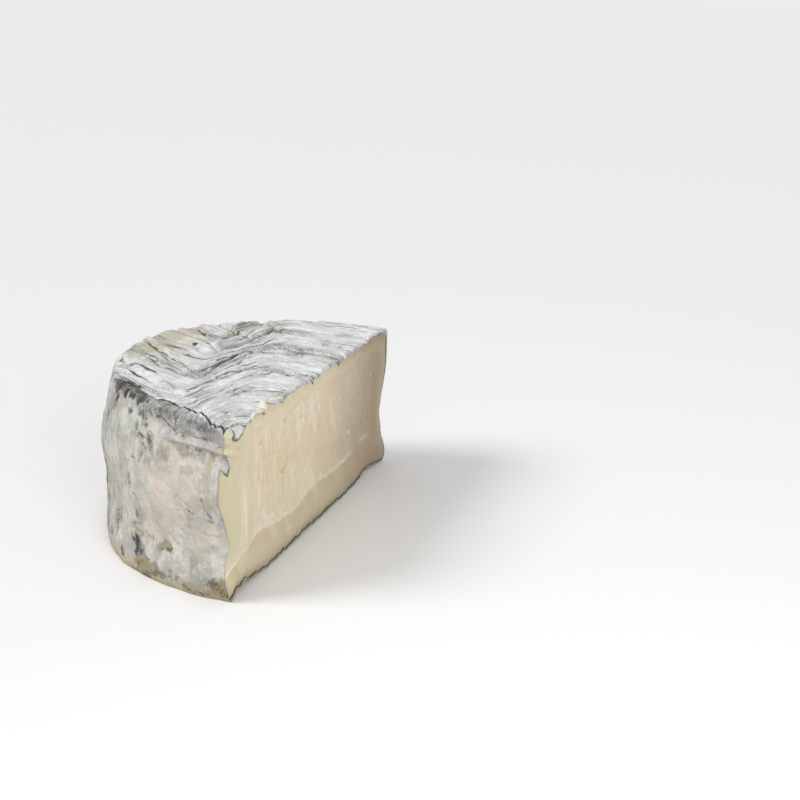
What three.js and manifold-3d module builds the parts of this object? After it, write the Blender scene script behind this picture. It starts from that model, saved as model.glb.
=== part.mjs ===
// Half of a soft-ripened cheese wheel with an ash rind, standing on its base.
//
// The wheel is a low drum with a crisp rim, slack walls and a foot that has spread under its weight.
// Its rind has shrunk into long folds on top, crossed by the shallow furrows that the draining rack
// pressed in. A knife has cut the wheel just in front of its axis, and the cut face shows a firm core
// inside a softer band, a lip of rind that hangs over the edge, and a few eyes.
//
// Frame: millimetres, +Z up. The base lies on z = 0, the cut face looks along -Y, and the length of
// the cut runs along X. The origin is the middle of the base's bounding box.
import * as THREE from "three";
import { mergeVertices } from "three/addons/utils/BufferGeometryUtils.js";
import Module from "manifold-3d";

// Driving dimensions, in millimetres
const WHEEL_RADIUS = 75;
const WHEEL_HEIGHT = 64;
const CUT_OFFSET = 6; // the knife passed this far in front of the wheel's axis
const FOLD_SPACING = 9; // from one main fold of the rind to the next
const FOLD_DEPTH = 1.8;
const FURROW_SPACING = 19.8; // the rack's wires
const FURROW_DEPTH = 1.3;
const BAND_WIDTH = 13.5; // the soft band under the rind
const BAND_SWELL = 1.1; // how far the band stands proud of the core
const LIP_WIDTH = 2.4; // the rind that the knife dragged over the edge
const LIP_RISE = 0.7;
const FOOT_SETBACK = 3; // the base begins this far behind the cut's lower edge

// The wall's levels from the top's rim down to the base: how far each lies inside the widest girth,
// and its height.
const WALL_LEVELS = [
  [8, 64],
  [6.4, 63.6],
  [5, 62.2],
  [4, 59.8],
  [3.1, 56.4],
  [2.3, 52],
  [1.3, 47],
  [0.4, 41.5],
  [0, 36],
  [0.5, 30.5],
  [1.5, 25],
  [2, 19.5],
  [1.9, 14],
  [1.7, 9],
  [1.8, 4.8],
  [2.2, 1.8],
  [3, 0],
];

// Grid sizes
const ACROSS = 60; // cells along the cut
const DEEP = 28; // cells from the cut to the back, over the top

// ---------------------------------------------------------------------------------------------
// Small helpers

const clamp01 = (x) => Math.min(1, Math.max(0, x));
const mix = (a, b, t) => a + (b - a) * t;
const hill = (x, width) => Math.exp(-((x / width) ** 2));
const smoothMax = (a, b, blend) => 0.5 * (a + b + Math.hypot(a - b, blend));
const smoothMin = (a, b, blend) => 0.5 * (a + b - Math.hypot(a - b, blend));

function smooth(from, to, x) {
  const t = clamp01((x - from) / (to - from));
  return t * t * (3 - 2 * t);
}

// A repeatable number from 0 to 1 for each corner of a square lattice.
function latticeValue(i, j, seed) {
  const s = Math.sin(i * 127.1 + j * 311.7 + seed * 74.7) * 43758.5453;
  return s - Math.floor(s);
}

// Smooth noise from -1 to 1 that changes over about one unit of x and y.
function noise(x, y, seed) {
  const i = Math.floor(x);
  const j = Math.floor(y);
  const fx = smooth(0, 1, x - i);
  const fy = smooth(0, 1, y - j);
  const low = mix(latticeValue(i, j, seed), latticeValue(i + 1, j, seed), fx);
  const high = mix(latticeValue(i, j + 1, seed), latticeValue(i + 1, j + 1, seed), fx);
  return 2 * mix(low, high, fy) - 1;
}

// ---------------------------------------------------------------------------------------------
// Relief of the rind

// Place across the folds: its level lines are the way the folds run. In the middle of the top they
// run along the cut and turn down to it at the far side. At the near end and at the back they run
// beside the rack's furrows.
function acrossFolds(x, y) {
  const alongCut = y + 0.05 * x;
  const downToCut = 0.36 * x + 20;
  const besideFurrows = 18 + 0.5 * (0.9 * (x + 58) - 0.44 * (y - 18));
  const wander = 2.2 * noise(x / 17, y / 13, 3) + 0.9 * noise(x / 8, y / 7, 4);
  return smoothMin(smoothMax(alongCut, downToCut, 6), besideFurrows, 4) + wander;
}

// The folds: rounded backs with narrower valleys between them.
function folds(x, y) {
  const wave = 0.5 - 0.5 * Math.cos((2 * Math.PI * acrossFolds(x, y)) / FOLD_SPACING);
  const strength = 0.65 + 0.35 * noise(x / 19, y / 13, 8);
  return FOLD_DEPTH * strength * (Math.pow(wave, 0.6) - 0.7);
}

// The rack's furrows: parallel, 60 degrees to the cut, and fading towards the middle of the top.
function furrows(x, y) {
  const across = 0.866 * x - 0.5 * y + 37 + 0.8 * noise(x / 15, y / 15, 5);
  const nearest = across - FURROW_SPACING * Math.round(across / FURROW_SPACING);
  const strength = 0.15 + 0.85 * smooth(30, 50, y + 0.25 * Math.abs(x));
  return -FURROW_DEPTH * strength * hill(nearest, 1.9);
}

// Height of the top above or below the nominal one, at a point of the plan.
function topRelief(x, y) {
  const dish = -1.1 * (1 - Math.hypot(x, y) / WHEEL_RADIUS);
  const nearSag = -2 * hill(x + WHEEL_RADIUS, 13) * hill(y + CUT_OFFSET, 12);
  const farSag = -0.9 * hill(x - 48, 26) * hill(y - 44, 22);
  const sway = 0.6 * noise(x / 31, y / 27, 1);
  return dish + nearSag + farSag + sway + folds(x, y) + furrows(x, y);
}

// How far the wall stands out from, or falls short of, the nominal drum. Angle 0 is the far end of
// the cut, and pi its near end.
function wallRelief(angle, z) {
  const lobes = 0.6 * Math.cos(2 * angle + 0.9) + 0.5 * Math.sin(3 * angle + 1.1);
  const arc = angle * WHEEL_RADIUS;
  const slack = 0.6 * noise(arc / 22, z / 17, 11) + 0.3 * noise(arc / 9, z / 8, 12);
  const footSwell = 2.7 * hill(angle - 2.58, 0.27) * hill(z, 12) - 1.1 * hill(Math.PI - angle, 0.2) * hill(z, 8);
  const farEnd = hill(angle, 0.34) * (-3.4 * hill(z - 30, 15) + 1.8 * hill(z - 5, 7));
  const creaseHeight = 57.5 - 4 * smooth(2.7, 3.15, angle);
  const beltCrease = -1.1 * hill(z - creaseHeight, 2.2) * smooth(2.3, 2.75, angle);
  return lobes + slack + footSwell + farEnd + beltCrease;
}

// ---------------------------------------------------------------------------------------------
// The drum

// Maps a square's u from -1 to 1 and v from 0 to 1 to the unit half disc, with v = 0 on its straight side.
function halfDisc(u, v) {
  return [u * Math.sqrt(1 - (v * v) / 2), v * Math.sqrt(1 - (u * u) / 2)];
}

// A place of the unit half disc on the plan of the wheel, drawn in by an inset.
function onPlan([unitX, unitY], inset) {
  return [unitX * (WHEEL_RADIUS - inset), unitY * (WHEEL_RADIUS - inset + CUT_OFFSET) - CUT_OFFSET];
}

// How far the cut strays from the knife's plane: the soft paste has slumped back at both ends and
// spread at the far foot, and the rind's edge is ragged along the top.
function cutStray(x, z) {
  const nearEnd = 1.5 * hill(z - 41, 7) - 0.5 * hill(z - 24, 4) + 1.1 * hill(z - 14, 7);
  const farEnd = 1.2 * hill(z - 28, 14) - 0.9 * hill(z - 5, 5);
  const ragged = 0.9 * noise(x / 7, 0.5, 41) * hill(WHEEL_HEIGHT - z, 5);
  return nearEnd * smooth(-58, -72, x) + farEnd * smooth(52, 70, x) + ragged;
}

// A point of the drum's skin over a place of the unit half disc, at an inset and a nominal height.
function skinPoint(unit, inset, z) {
  const [x, y] = onPlan(unit, inset);
  const reach = Math.hypot(unit[0], unit[1]);
  const angle = Math.atan2(unit[1], unit[0]);
  const out = reach * wallRelief(angle, z) * smooth(0.2, 1, reach);
  const px = x + (unit[0] / Math.max(reach, 1e-6)) * out;
  const py = y + (unit[1] / Math.max(reach, 1e-6)) * out;
  const topShare = 1 - smooth(0, 7, WHEEL_HEIGHT - z);
  const stray = cutStray(px, z) * hill(py + CUT_OFFSET, 9);
  return [px, py + stray, z + topShare * topRelief(px, py)];
}

// ---------------------------------------------------------------------------------------------
// The cut face

// How wide the lip of rind is at a place of the face's edge, and how far it stands out. Two flaps
// hang at the near end: one from the top corner and one from the crease below it.
function lipWidth(x, z) {
  const ragged = LIP_WIDTH * (1 + 0.45 * noise(x / 5, z / 5, 21));
  const cornerFlap = 4.5 * hill(x + 69, 5) * hill(z - 62, 6);
  const creaseFlap = 3 * hill(x + 76, 6) * hill(z - 51, 3.5);
  return ragged + cornerFlap + creaseFlap;
}

// Height of the cut's lower edge: the base's rind has curled up here and there.
function lowerEdge(x) {
  const curls = 2 * hill(x + 60, 13) + 2.6 * hill(x - 56, 9);
  return curls + 0.9 * (0.5 + 0.5 * noise(x / 5, 0.5, 51));
}

// How far the face stands out of the knife's plane, at a distance from the edge of the face.
function faceRelief(x, z, fromEdge) {
  const lip = LIP_RISE * (1 - smooth(0.75, 1.35, fromEdge / lipWidth(x, z)));
  const bandEdge = BAND_WIDTH + 1.5 * noise(x / 12, z / 12, 33);
  const band = BAND_SWELL * (1 - smooth(bandEdge - 2, bandEdge + 2, fromEdge)) * smooth(0, 5, fromEdge);
  const knife = 0.35 * noise(x / 7, z / 26, 31) + 0.5 * noise(x / 34, z / 30, 32);
  return (lip + band + knife) * smooth(0, LIP_WIDTH * 0.5, fromEdge);
}

// Shares of the way across the face, closer together at both edges so that the lip shows.
function gradedShares(cells, length) {
  const first = LIP_WIDTH / length;
  const shares = [0, first];
  for (let k = 2; k < cells - 1; k++) shares.push(mix(first, 1 - first, (k - 1) / (cells - 2)));
  shares.push(1 - first, 1);
  return shares;
}

// ---------------------------------------------------------------------------------------------
// Meshing

class SkinBuilder {
  positions = [];
  triangles = [];

  point([x, y, z]) {
    this.positions.push(x, y, z);
    return this.positions.length / 3 - 1;
  }

  triangle(a, b, c) {
    if (a !== b && b !== c && c !== a) this.triangles.push(a, b, c);
  }

  // Two triangles for each cell of a grid of point numbers, split along the cell's shorter
  // diagonal. The rows run to the right of one who stands on the skin and looks at the next row.
  grid(rows) {
    for (let j = 0; j + 1 < rows.length; j++) {
      for (let i = 0; i + 1 < rows[j].length; i++) {
        const [a, b] = [rows[j][i], rows[j][i + 1]];
        const [d, c] = [rows[j + 1][i], rows[j + 1][i + 1]];
        const splitAtA = this.distance(a, c) < this.distance(b, d);
        this.triangle(a, b, splitAtA ? c : d);
        this.triangle(splitAtA ? a : b, c, d);
      }
    }
  }

  geometry() {
    const made = new THREE.BufferGeometry();
    made.setAttribute("position", new THREE.Float32BufferAttribute(this.positions, 3));
    made.setIndex(this.triangles);
    return mergeVertices(made, 1e-3);
  }

  at(index) {
    return this.positions.slice(3 * index, 3 * index + 3);
  }

  distance(from, to) {
    const [p, q] = [this.at(from), this.at(to)];
    return Math.hypot(p[0] - q[0], p[1] - q[1], p[2] - q[2]);
  }
}

// The rim of the unit half disc from the far end of the cut, round the back, to its near end.
function rimUnits() {
  const units = [];
  for (let j = 0; j < DEEP; j++) units.push(halfDisc(1, j / DEEP));
  for (let i = 0; i < ACROSS; i++) units.push(halfDisc(1 - (2 * i) / ACROSS, 1));
  for (let j = DEEP; j >= 0; j--) units.push(halfDisc(-1, j / DEEP));
  return units;
}

function addTop(skin) {
  const rows = [];
  for (let j = 0; j <= DEEP; j++) {
    const row = [];
    for (let i = 0; i <= ACROSS; i++) {
      const unit = halfDisc((2 * i) / ACROSS - 1, j / DEEP);
      row.push(skin.point(skinPoint(unit, ...WALL_LEVELS[0])));
    }
    rows.push(row);
  }
  skin.grid(rows);
  return rows[0];
}

function addWall(skin) {
  const rows = WALL_LEVELS.map(([inset, z]) =>
    rimUnits().map((unit) => skin.point(skinPoint(unit, inset, z))),
  );
  skin.grid(rows.reverse());
  return rows;
}

// The base is one flat polygon, closed by a narrow strip that rises to the cut's lower edge.
// Returns the points of that edge from its near end to its far end.
function addBase(skin, footRow) {
  const [nearFoot, farFoot] = [footRow.at(-1), footRow[0]];
  const [near, far] = [skin.at(nearFoot)[0], skin.at(farFoot)[0]];
  const edgeRow = [nearFoot];
  const chordRow = [nearFoot];
  for (const share of gradedShares(ACROSS, far - near).slice(1, -1)) {
    const x = mix(near, far, share);
    const fromEnd = Math.min(x - near, far - x);
    const lift = lowerEdge(x) * smooth(0, 5, fromEnd);
    const setback = FOOT_SETBACK * smooth(0, 5, fromEnd);
    edgeRow.push(skin.point([x, -CUT_OFFSET + cutStray(x, 0), lift]));
    chordRow.push(skin.point([x, -CUT_OFFSET + cutStray(x, 0) + setback, 0]));
  }
  edgeRow.push(farFoot);
  chordRow.push(farFoot);
  skin.grid([chordRow, edgeRow]);

  const loop = [...footRow, ...chordRow.slice(1, -1)];
  const outline = loop.map((index) => new THREE.Vector2(...skin.at(index).slice(0, 2)));
  for (const [a, b, c] of THREE.ShapeUtils.triangulateShape(outline, [])) {
    skin.triangle(loop[a], loop[c], loop[b]);
  }
  return edgeRow;
}

// The knife's face: blended from its four edges, then raised and lowered.
function addFace(skin, topRow, bottomRow, nearColumn, farColumn) {
  const cells = nearColumn.length - 1;
  const [p00, p10] = [skin.at(bottomRow[0]), skin.at(bottomRow[ACROSS])];
  const [p01, p11] = [skin.at(topRow[0]), skin.at(topRow[ACROSS])];
  const rows = [bottomRow];
  for (let j = 1; j < cells; j++) {
    const row = [nearColumn[j]];
    const t = j / cells;
    const [near, far] = [skin.at(nearColumn[j]), skin.at(farColumn[j])];
    for (let i = 1; i < ACROSS; i++) {
      const s = i / ACROSS;
      const [low, high] = [skin.at(bottomRow[i]), skin.at(topRow[i])];
      const [x, z] = [0, 2].map(
        (k) =>
          mix(low[k], high[k], t) +
          mix(near[k], far[k], s) -
          mix(mix(p00[k], p10[k], s), mix(p01[k], p11[k], s), t),
      );
      const fromEdge = Math.min(x - near[0], far[0] - x, z - low[2], high[2] - z);
      const out = faceRelief(x, z, Math.max(0, fromEdge)) - cutStray(x, z);
      row.push(skin.point([x, -CUT_OFFSET - out, z]));
    }
    row.push(farColumn[j]);
    rows.push(row);
  }
  rows.push(topRow);
  skin.grid(rows);
}

function halfWheelGeometry() {
  const skin = new SkinBuilder();
  const topRow = addTop(skin);
  const wall = addWall(skin);
  const lowerEdgeRow = addBase(skin, wall[0]);
  addFace(
    skin,
    topRow,
    lowerEdgeRow,
    wall.map((row) => row.at(-1)),
    wall.map((row) => row[0]),
  );
  return skin.geometry();
}

// ---------------------------------------------------------------------------------------------
// Eyes: small holes in the paste, opened by the knife. Each is a place on the face and a size.

const EYES = [
  { x: -28, z: 34, wide: 5.6, tall: 3.4, turn: -0.5 },
  { x: -49.5, z: 51.5, wide: 2.2, tall: 2.4, turn: 0.4 },
  { x: -30.5, z: 52.5, wide: 2.2, tall: 1.9, turn: 0 },
  { x: 8.5, z: 30, wide: 3, tall: 2.2, turn: 0.3 },
  { x: 1.5, z: 41.3, wide: 8, tall: 1.6, turn: 0.15 },
  { x: 27, z: 42, wide: 3.4, tall: 2.6, turn: -0.5 },
  { x: 42, z: 27, wide: 2.6, tall: 2.2, turn: 0.3 },
  { x: 52, z: 45, wide: 4.2, tall: 2.6, turn: 0.2 },
];

function eyeGeometry({ x, z, wide, tall, turn }) {
  const deep = Math.min(wide, tall) * 1.5;
  return new THREE.SphereGeometry(1, 9, 6)
    .scale(wide / 2, deep, tall / 2)
    .rotateY(turn)
    .translate(x, -CUT_OFFSET - 0.3, z);
}

// ---------------------------------------------------------------------------------------------
// Solids

const wasm = await Module();
wasm.setup();

function solidFrom(geometry) {
  const bare = geometry.clone();
  bare.deleteAttribute("normal");
  bare.deleteAttribute("uv");
  const merged = mergeVertices(bare, 1e-3);
  return new wasm.Manifold(
    new wasm.Mesh({
      numProp: 3,
      vertProperties: new Float32Array(merged.attributes.position.array),
      triVerts: new Uint32Array(merged.index.array),
    }),
  );
}

function geometryFrom(solid) {
  const mesh = solid.getMesh();
  const made = new THREE.BufferGeometry();
  made.setAttribute("position", new THREE.BufferAttribute(mesh.vertProperties, 3));
  made.setIndex(new THREE.BufferAttribute(mesh.triVerts, 1));
  made.computeVertexNormals();
  return made;
}

function cutCheese() {
  let cheese = solidFrom(halfWheelGeometry());
  for (const eye of EYES) cheese = cheese.subtract(solidFrom(eyeGeometry(eye)));
  return geometryFrom(cheese);
}

// Moves the geometry so that the origin is the middle of its base.
function centredOnBase(geometry) {
  geometry.computeBoundingBox();
  const middle = geometry.boundingBox.getCenter(new THREE.Vector3());
  return geometry.translate(-middle.x, -middle.y, -geometry.boundingBox.min.z);
}

const rindMaterial = new THREE.MeshStandardMaterial({ color: 0xc9c8c2, roughness: 0.9, metalness: 0 });

const halfWheel = new THREE.Mesh(centredOnBase(cutCheese()), rindMaterial);
halfWheel.name = "half_wheel";

const cheese = new THREE.Group();
cheese.add(halfWheel);

export default cheese;
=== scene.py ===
# %% [markdown]
# # Half of a soft-ripened cheese wheel
#
# A low drum of cheese was cut once, just in front of its middle, and one half stands on its base.
# Its rind is a thin skin of mould and ash that shrank into folds. Inside are a soft band and a
# firmer core. The scene makes two main pieces: the rind, a closed skin about a millimetre thick
# that also curls over the cut's edge, and the paste, the body that fills it and shows at the cut.
# A third, small piece is a chain of dried curls of paste on that edge. All shapes are worked out in
# millimetres around the wheel's own axis, and are moved to the model's frame, in metres, when a
# mesh is made.

# %% Load the frame
import math

import bpy
import numpy as np
from mathutils import Matrix, Vector


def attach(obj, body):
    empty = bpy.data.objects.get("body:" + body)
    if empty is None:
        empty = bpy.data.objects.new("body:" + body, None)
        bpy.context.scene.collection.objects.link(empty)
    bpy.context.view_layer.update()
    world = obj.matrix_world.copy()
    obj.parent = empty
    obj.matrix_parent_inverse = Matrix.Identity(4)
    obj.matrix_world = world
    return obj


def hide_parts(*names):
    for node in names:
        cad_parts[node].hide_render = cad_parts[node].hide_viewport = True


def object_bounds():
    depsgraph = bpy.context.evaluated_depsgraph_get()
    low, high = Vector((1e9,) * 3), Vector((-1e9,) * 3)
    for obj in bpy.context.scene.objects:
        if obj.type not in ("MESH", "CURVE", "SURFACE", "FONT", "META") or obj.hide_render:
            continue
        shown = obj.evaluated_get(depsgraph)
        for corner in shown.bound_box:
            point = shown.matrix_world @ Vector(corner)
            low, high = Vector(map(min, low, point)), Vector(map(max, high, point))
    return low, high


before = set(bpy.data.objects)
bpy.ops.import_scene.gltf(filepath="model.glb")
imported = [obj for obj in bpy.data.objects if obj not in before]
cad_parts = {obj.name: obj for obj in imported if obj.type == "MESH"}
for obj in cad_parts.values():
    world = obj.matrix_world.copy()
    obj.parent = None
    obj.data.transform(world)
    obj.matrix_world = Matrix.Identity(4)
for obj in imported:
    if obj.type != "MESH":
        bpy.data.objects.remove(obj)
cad_lowest, cad_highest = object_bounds()
print("solid's box, m:", [round(v, 4) for v in (*cad_lowest, *cad_highest)])

# %% [markdown]
# ## Helpers
#
# A few small functions do most of the work: a bell-shaped hill, a smooth step, and a repeatable
# noise. The noise gives each corner of a square lattice a number and blends between them, so that
# the same place always gets the same value and nothing has to be stored.

# %% Helpers for steps and blends
def hill(x, width):
    """A bell: 1 at x = 0 that falls to about a third at one width."""
    return np.exp(-((x / width) ** 2))


def smooth(start, end, x):
    """0 up to start, 1 from end on, with a soft S between them."""
    t = np.clip((x - start) / (end - start), 0.0, 1.0)
    return t * t * (3 - 2 * t)


def soft_max(a, b, blend):
    """The larger of two values, with a rounded change-over."""
    return 0.5 * (a + b + np.hypot(a - b, blend))


def soft_min(a, b, blend):
    """The smaller of two values, with a rounded change-over."""
    return 0.5 * (a + b - np.hypot(a - b, blend))


print("a hill at half its width:", round(float(hill(0.5, 1)), 3))

# %% Repeatable noise
def lattice_value(i, j, seed):
    """A repeatable number from 0 to 1: the fraction of a large multiple of a sine."""
    s = np.sin(i * 127.1 + j * 311.7 + seed * 74.7) * 43758.5453
    return s - np.floor(s)


def noise(x, y, seed):
    """Smooth noise from -1 to 1: lattice values blended along x, then along y."""
    x, y = np.broadcast_arrays(np.asarray(x, float), np.asarray(y, float))
    i, j = np.floor(x), np.floor(y)
    fx, fy = smooth(0, 1, x - i), smooth(0, 1, y - j)
    low = lattice_value(i, j, seed) * (1 - fx) + lattice_value(i + 1, j, seed) * fx
    high = lattice_value(i, j + 1, seed) * (1 - fx) + lattice_value(i + 1, j + 1, seed) * fx
    return 2 * (low * (1 - fy) + high * fy) - 1


def cloud(x, y, seed, layers=3):
    """Several layers of noise, each half as coarse and about half as strong as the one before."""
    total = 0.0
    weight = 0.0
    for k in range(layers):
        share = 0.55**k
        total = total + share * noise(x * 2**k + 3.7 * k, y * 2**k - 1.3 * k, seed + 17 * k)
        weight += share
    return total / weight


print("noise sample:", round(float(noise(0.5, 0.5, 1)), 3))

# %% Patches and strokes
def patch(u, v, centre, radii, turn=0.0, seed=0, ragged=0.45):
    """An oval patch, 1 inside and 0 outside, whose edge is made ragged by noise."""
    c, s = math.cos(math.radians(turn)), math.sin(math.radians(turn))
    du, dv = u - centre[0], v - centre[1]
    r = np.hypot((du * c + dv * s) / radii[0], (dv * c - du * s) / radii[1])
    return 1 - smooth(0.35, 1.35, r + ragged * cloud(u / 3.2, v / 3.2, seed))


def stroke(u, v, places, width):
    """A line through several places: a hill over the distance from its nearest stretch."""
    nearest = np.full(np.shape(u), 1e9)
    for (au, av), (bu, bv) in zip(places[:-1], places[1:]):
        run_u, run_v = bu - au, bv - av
        t = np.clip(((u - au) * run_u + (v - av) * run_v) / (run_u**2 + run_v**2), 0, 1)
        nearest = np.minimum(nearest, np.hypot(u - au - t * run_u, v - av - t * run_v))
    return hill(nearest, width)


def gathered_max(masks):
    """The strongest of several masks at each point."""
    return np.maximum.reduce(list(masks))


print("a stroke one width aside:", round(float(stroke(5.0, 1.0, [(0, 0), (10, 0)], 1)), 3))

# %% [markdown]
# ## The wheel's form
#
# The main sizes are those of the solid model, so that both have the same outline. The wall's
# profile is a list of levels: how far each lies inside the widest girth, and its height. The rind's
# folds follow a number that grows across them, and lines of equal value are the way the folds run.
# Where the rind has dried it has drawn back from the cut, up the near end and along the top, and the
# soft paste bulges out beside it.

# %% Main sizes, millimetres
WHEEL_RADIUS = 75
WHEEL_HEIGHT = 64
CUT_OFFSET = 6
FOLD_SPACING = 9
FOLD_DEPTH = 1.8
FURROW_SPACING = 19.8
FURROW_DEPTH = 1.3
BAND_WIDTH = 13.5
BAND_SWELL = 1.1
FOOT_SETBACK = 3
# The wheel's axis, measured from the model's origin in the middle of the base's bounding rectangle.
AXIS_FROM_BASE_MIDDLE = np.array([-0.189, -33.172, 0.0])
# The wall's levels, from the rim down: inset and height.
WALL_LEVELS = np.array([
    [8, 64], [6.4, 63.6], [5, 62.2], [4, 59.8], [3.1, 56.4], [2.3, 52], [1.3, 47], [0.4, 41.5],
    [0, 36], [0.5, 30.5], [1.5, 25], [2, 19.5], [1.9, 14], [1.7, 9], [1.8, 4.8], [2.2, 1.8], [3, 0],
], float)
print("wheel:", 2 * WHEEL_RADIUS, "mm across,", WHEEL_HEIGHT, "mm high")

# %% Relief that the solid model has too
def fold_number_at(x, y):
    """Place across the folds: beside the cut it grows with y, towards the far end with x, and at the
    near back rim across the furrows. The three are joined by a soft larger and a soft smaller."""
    along_cut = y + 0.05 * x
    down_to_cut = 0.36 * x + 20
    beside_furrows = 18 + 0.5 * (0.9 * (x + 58) - 0.44 * (y - 18))
    return soft_min(soft_max(along_cut, down_to_cut, 6), beside_furrows, 4)


def furrow_number(x, y):
    """Place across the parallel furrows that the draining rack left: whole numbers lie in them."""
    return (0.866 * x - 0.5 * y + 37 + 0.8 * noise(x / 15, y / 15, 5)) / FURROW_SPACING


def from_furrow(x, y):
    """Distance from the nearest furrow."""
    number = furrow_number(x, y)
    return FURROW_SPACING * (number - np.round(number))


def furrow_strength(x, y):
    """The furrows are clear towards the back and fade in the middle of the top."""
    return 0.15 + 0.85 * smooth(30, 50, y + 0.25 * np.abs(x))


def wall_relief(angle, z):
    """How far the wall stands out: broad lobes, slack, a spread foot, a hollow at the far end and a
    crease under the rim."""
    lobes = 0.6 * np.cos(2 * angle + 0.9) + 0.5 * np.sin(3 * angle + 1.1)
    arc = angle * WHEEL_RADIUS
    slack = 0.6 * noise(arc / 22, z / 17, 11) + 0.3 * noise(arc / 9, z / 8, 12)
    foot = 2.7 * hill(angle - 2.58, 0.27) * hill(z, 12) - 1.1 * hill(np.pi - angle, 0.2) * hill(z, 8)
    far_end = hill(angle, 0.34) * (-3.4 * hill(z - 30, 15) + 1.8 * hill(z - 5, 7))
    crease_height = 57.5 - 4 * smooth(2.7, 3.15, angle)
    crease = -1.1 * hill(z - crease_height, 2.2) * smooth(2.3, 2.75, angle)
    return lobes + slack + foot + far_end + crease


print("distance from a furrow in the middle:", round(float(from_furrow(0.0, 30.0)), 1), "mm")

# %% How the cut strays and where the rind has drawn back
# Radii of the paste's round corners: up the near end of the cut, and along its top.
CORNER_ROUND = 5.0
TOP_ROUND = 3.2
# How far the rind has drawn back up the near end: heights, and the distance at each.
DRAWN_HEIGHTS = [0, 5, 10, 14, 20, 24, 28, 32, 36, 40, 46, 48, 49.4, 50.8, 52.4, 53.8, 55, 58, 62]
DRAWN_WIDTHS = [0.4, 0.9, 0.8, 0.4, 0.2, 0.9, 2, 2.7, 3, 2.7, 3.4, 3.8, 3.5, 2.9, 2.8, 3.5, 3.9, 3.9, 5]


def cut_stray(x, z):
    """How far the cut strays back from the knife's plane at its ends and along the ragged top."""
    near_end = 1.5 * hill(z - 41, 7) - 0.5 * hill(z - 24, 4) + 1.1 * hill(z - 14, 7)
    far_end = 1.2 * hill(z - 28, 14) - 0.9 * hill(z - 5, 5)
    ragged = 0.9 * noise(x / 7, 0.5, 41) * hill(WHEEL_HEIGHT - z, 5)
    return near_end * (1 - smooth(-72, -58, x)) + far_end * smooth(52, 70, x) + ragged


def quarter_round(share):
    """1 at a share of 0 or less, then down a quarter circle to 0 at a share of 1."""
    beyond = 1 - np.clip(share, 0, 1)
    return 1 - np.sqrt(np.clip(1 - beyond**2, 0, 1))


def drawn_back(x, z):
    """How far the rind has drawn back from the cut up its near end, where soft paste bulges out."""
    by_height = np.interp(z, DRAWN_HEIGHTS, DRAWN_WIDTHS) + 0.18 * noise(z / 1.9, 0.5, 42)
    return by_height * quarter_round((x + 67.2) / CORNER_ROUND)


def top_drawn_back(x):
    """How far it has drawn back along the near part of the top, in shallow bays."""
    plain = 0.85 * smooth(-63, -56, x) * (1 - smooth(52, 64, x))
    return plain + 1.75 * hill(x + 43.5, 3.6) + 1.5 * hill(x + 28, 4.2)


def lower_edge(x):
    """Height of the cut's lower edge, where the rind of the base has curled up in waves."""
    curls = 2 * hill(x + 60, 13) + 2.6 * hill(x - 56, 9) + 0.9 * (0.5 + 0.5 * noise(x / 5, 0.5, 51))
    ripples = 0.7 * (0.5 + 0.5 * np.sin(x * 1.02 + 3.4 * noise(x / 7, 2.5, 52))) ** 1.6
    return curls + ripples * (0.5 + 0.5 * smooth(-0.5, 0.6, noise(x / 6, 7.5, 53)))


print("rind drawn back at a height of 58 mm:", round(float(drawn_back(-70.0, 58.0)), 2), "mm")

# %% [markdown]
# ## Wrinkles on the top
#
# Between the main folds the skin is pleated every few millimetres, and each pleat leans on the
# next one with a thin dark crease between them. Sculpting them by hand would take hours. Here they
# come from the same fold number: its fraction is the place within a pleat. A little noise in that
# number makes pleats branch and merge. The finest wrinkles are plain noise that was smeared along
# the folds, as a brush would. The work is done on a map of the top, seen in plan.

# %% A map of the top in plan
MAP_STEP = 0.35
map_x = np.arange(-82, 82 + MAP_STEP, MAP_STEP)
map_y = np.arange(-14, 82 + MAP_STEP, MAP_STEP)
plan_x, plan_y = np.meshgrid(map_x, map_y)


def read_map(field, x, y):
    """Value of a map, or of several in a stack, at any places of the plan: four cells, blended."""
    fx = np.clip((x - map_x[0]) / MAP_STEP, 0, len(map_x) - 1.001)
    fy = np.clip((y - map_y[0]) / MAP_STEP, 0, len(map_y) - 1.001)
    i, j = fx.astype(int), fy.astype(int)
    fx, fy = fx - i, fy - j
    low = field[..., j, i] * (1 - fx) + field[..., j, i + 1] * fx
    high = field[..., j + 1, i] * (1 - fx) + field[..., j + 1, i + 1] * fx
    return low * (1 - fy) + high * fy


def steepness_of(field):
    """Slopes of a map along x and y, and how steep it is."""
    slope_y, slope_x = np.gradient(field, MAP_STEP)
    return slope_x, slope_y, np.maximum(np.hypot(slope_x, slope_y), 0.08)


print("map of", plan_x.shape, "cells")

# %% Noise smeared along the folds
plain_flow = fold_number_at(plan_x, plan_y)
sway = 1.7 * noise(plan_x / 19, plan_y / 15, 3) + 0.7 * noise(plan_x / 9, plan_y / 8, 4)
flow = plain_flow + sway * np.clip(steepness_of(plain_flow)[2], 0.2, 1)
slope_x, slope_y, steepness = steepness_of(flow)
run_along = np.stack([-slope_y, slope_x]) / steepness


def smeared(fields, steps, stride=0.8):
    """Maps averaged along the folds: places are stepped both ways along the run and summed."""
    total = fields.copy()
    for way in (stride, -stride):
        x, y = plan_x, plan_y
        for _ in range(steps):
            along = read_map(run_along, x, y)
            x, y = x + way * along[0], y + way * along[1]
            total += read_map(fields, x, y)
    return total / (2 * steps + 1)


def evened(field):
    """A map with its average taken off and its usual swing made one."""
    return (field - field.mean()) / field.std()


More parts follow.
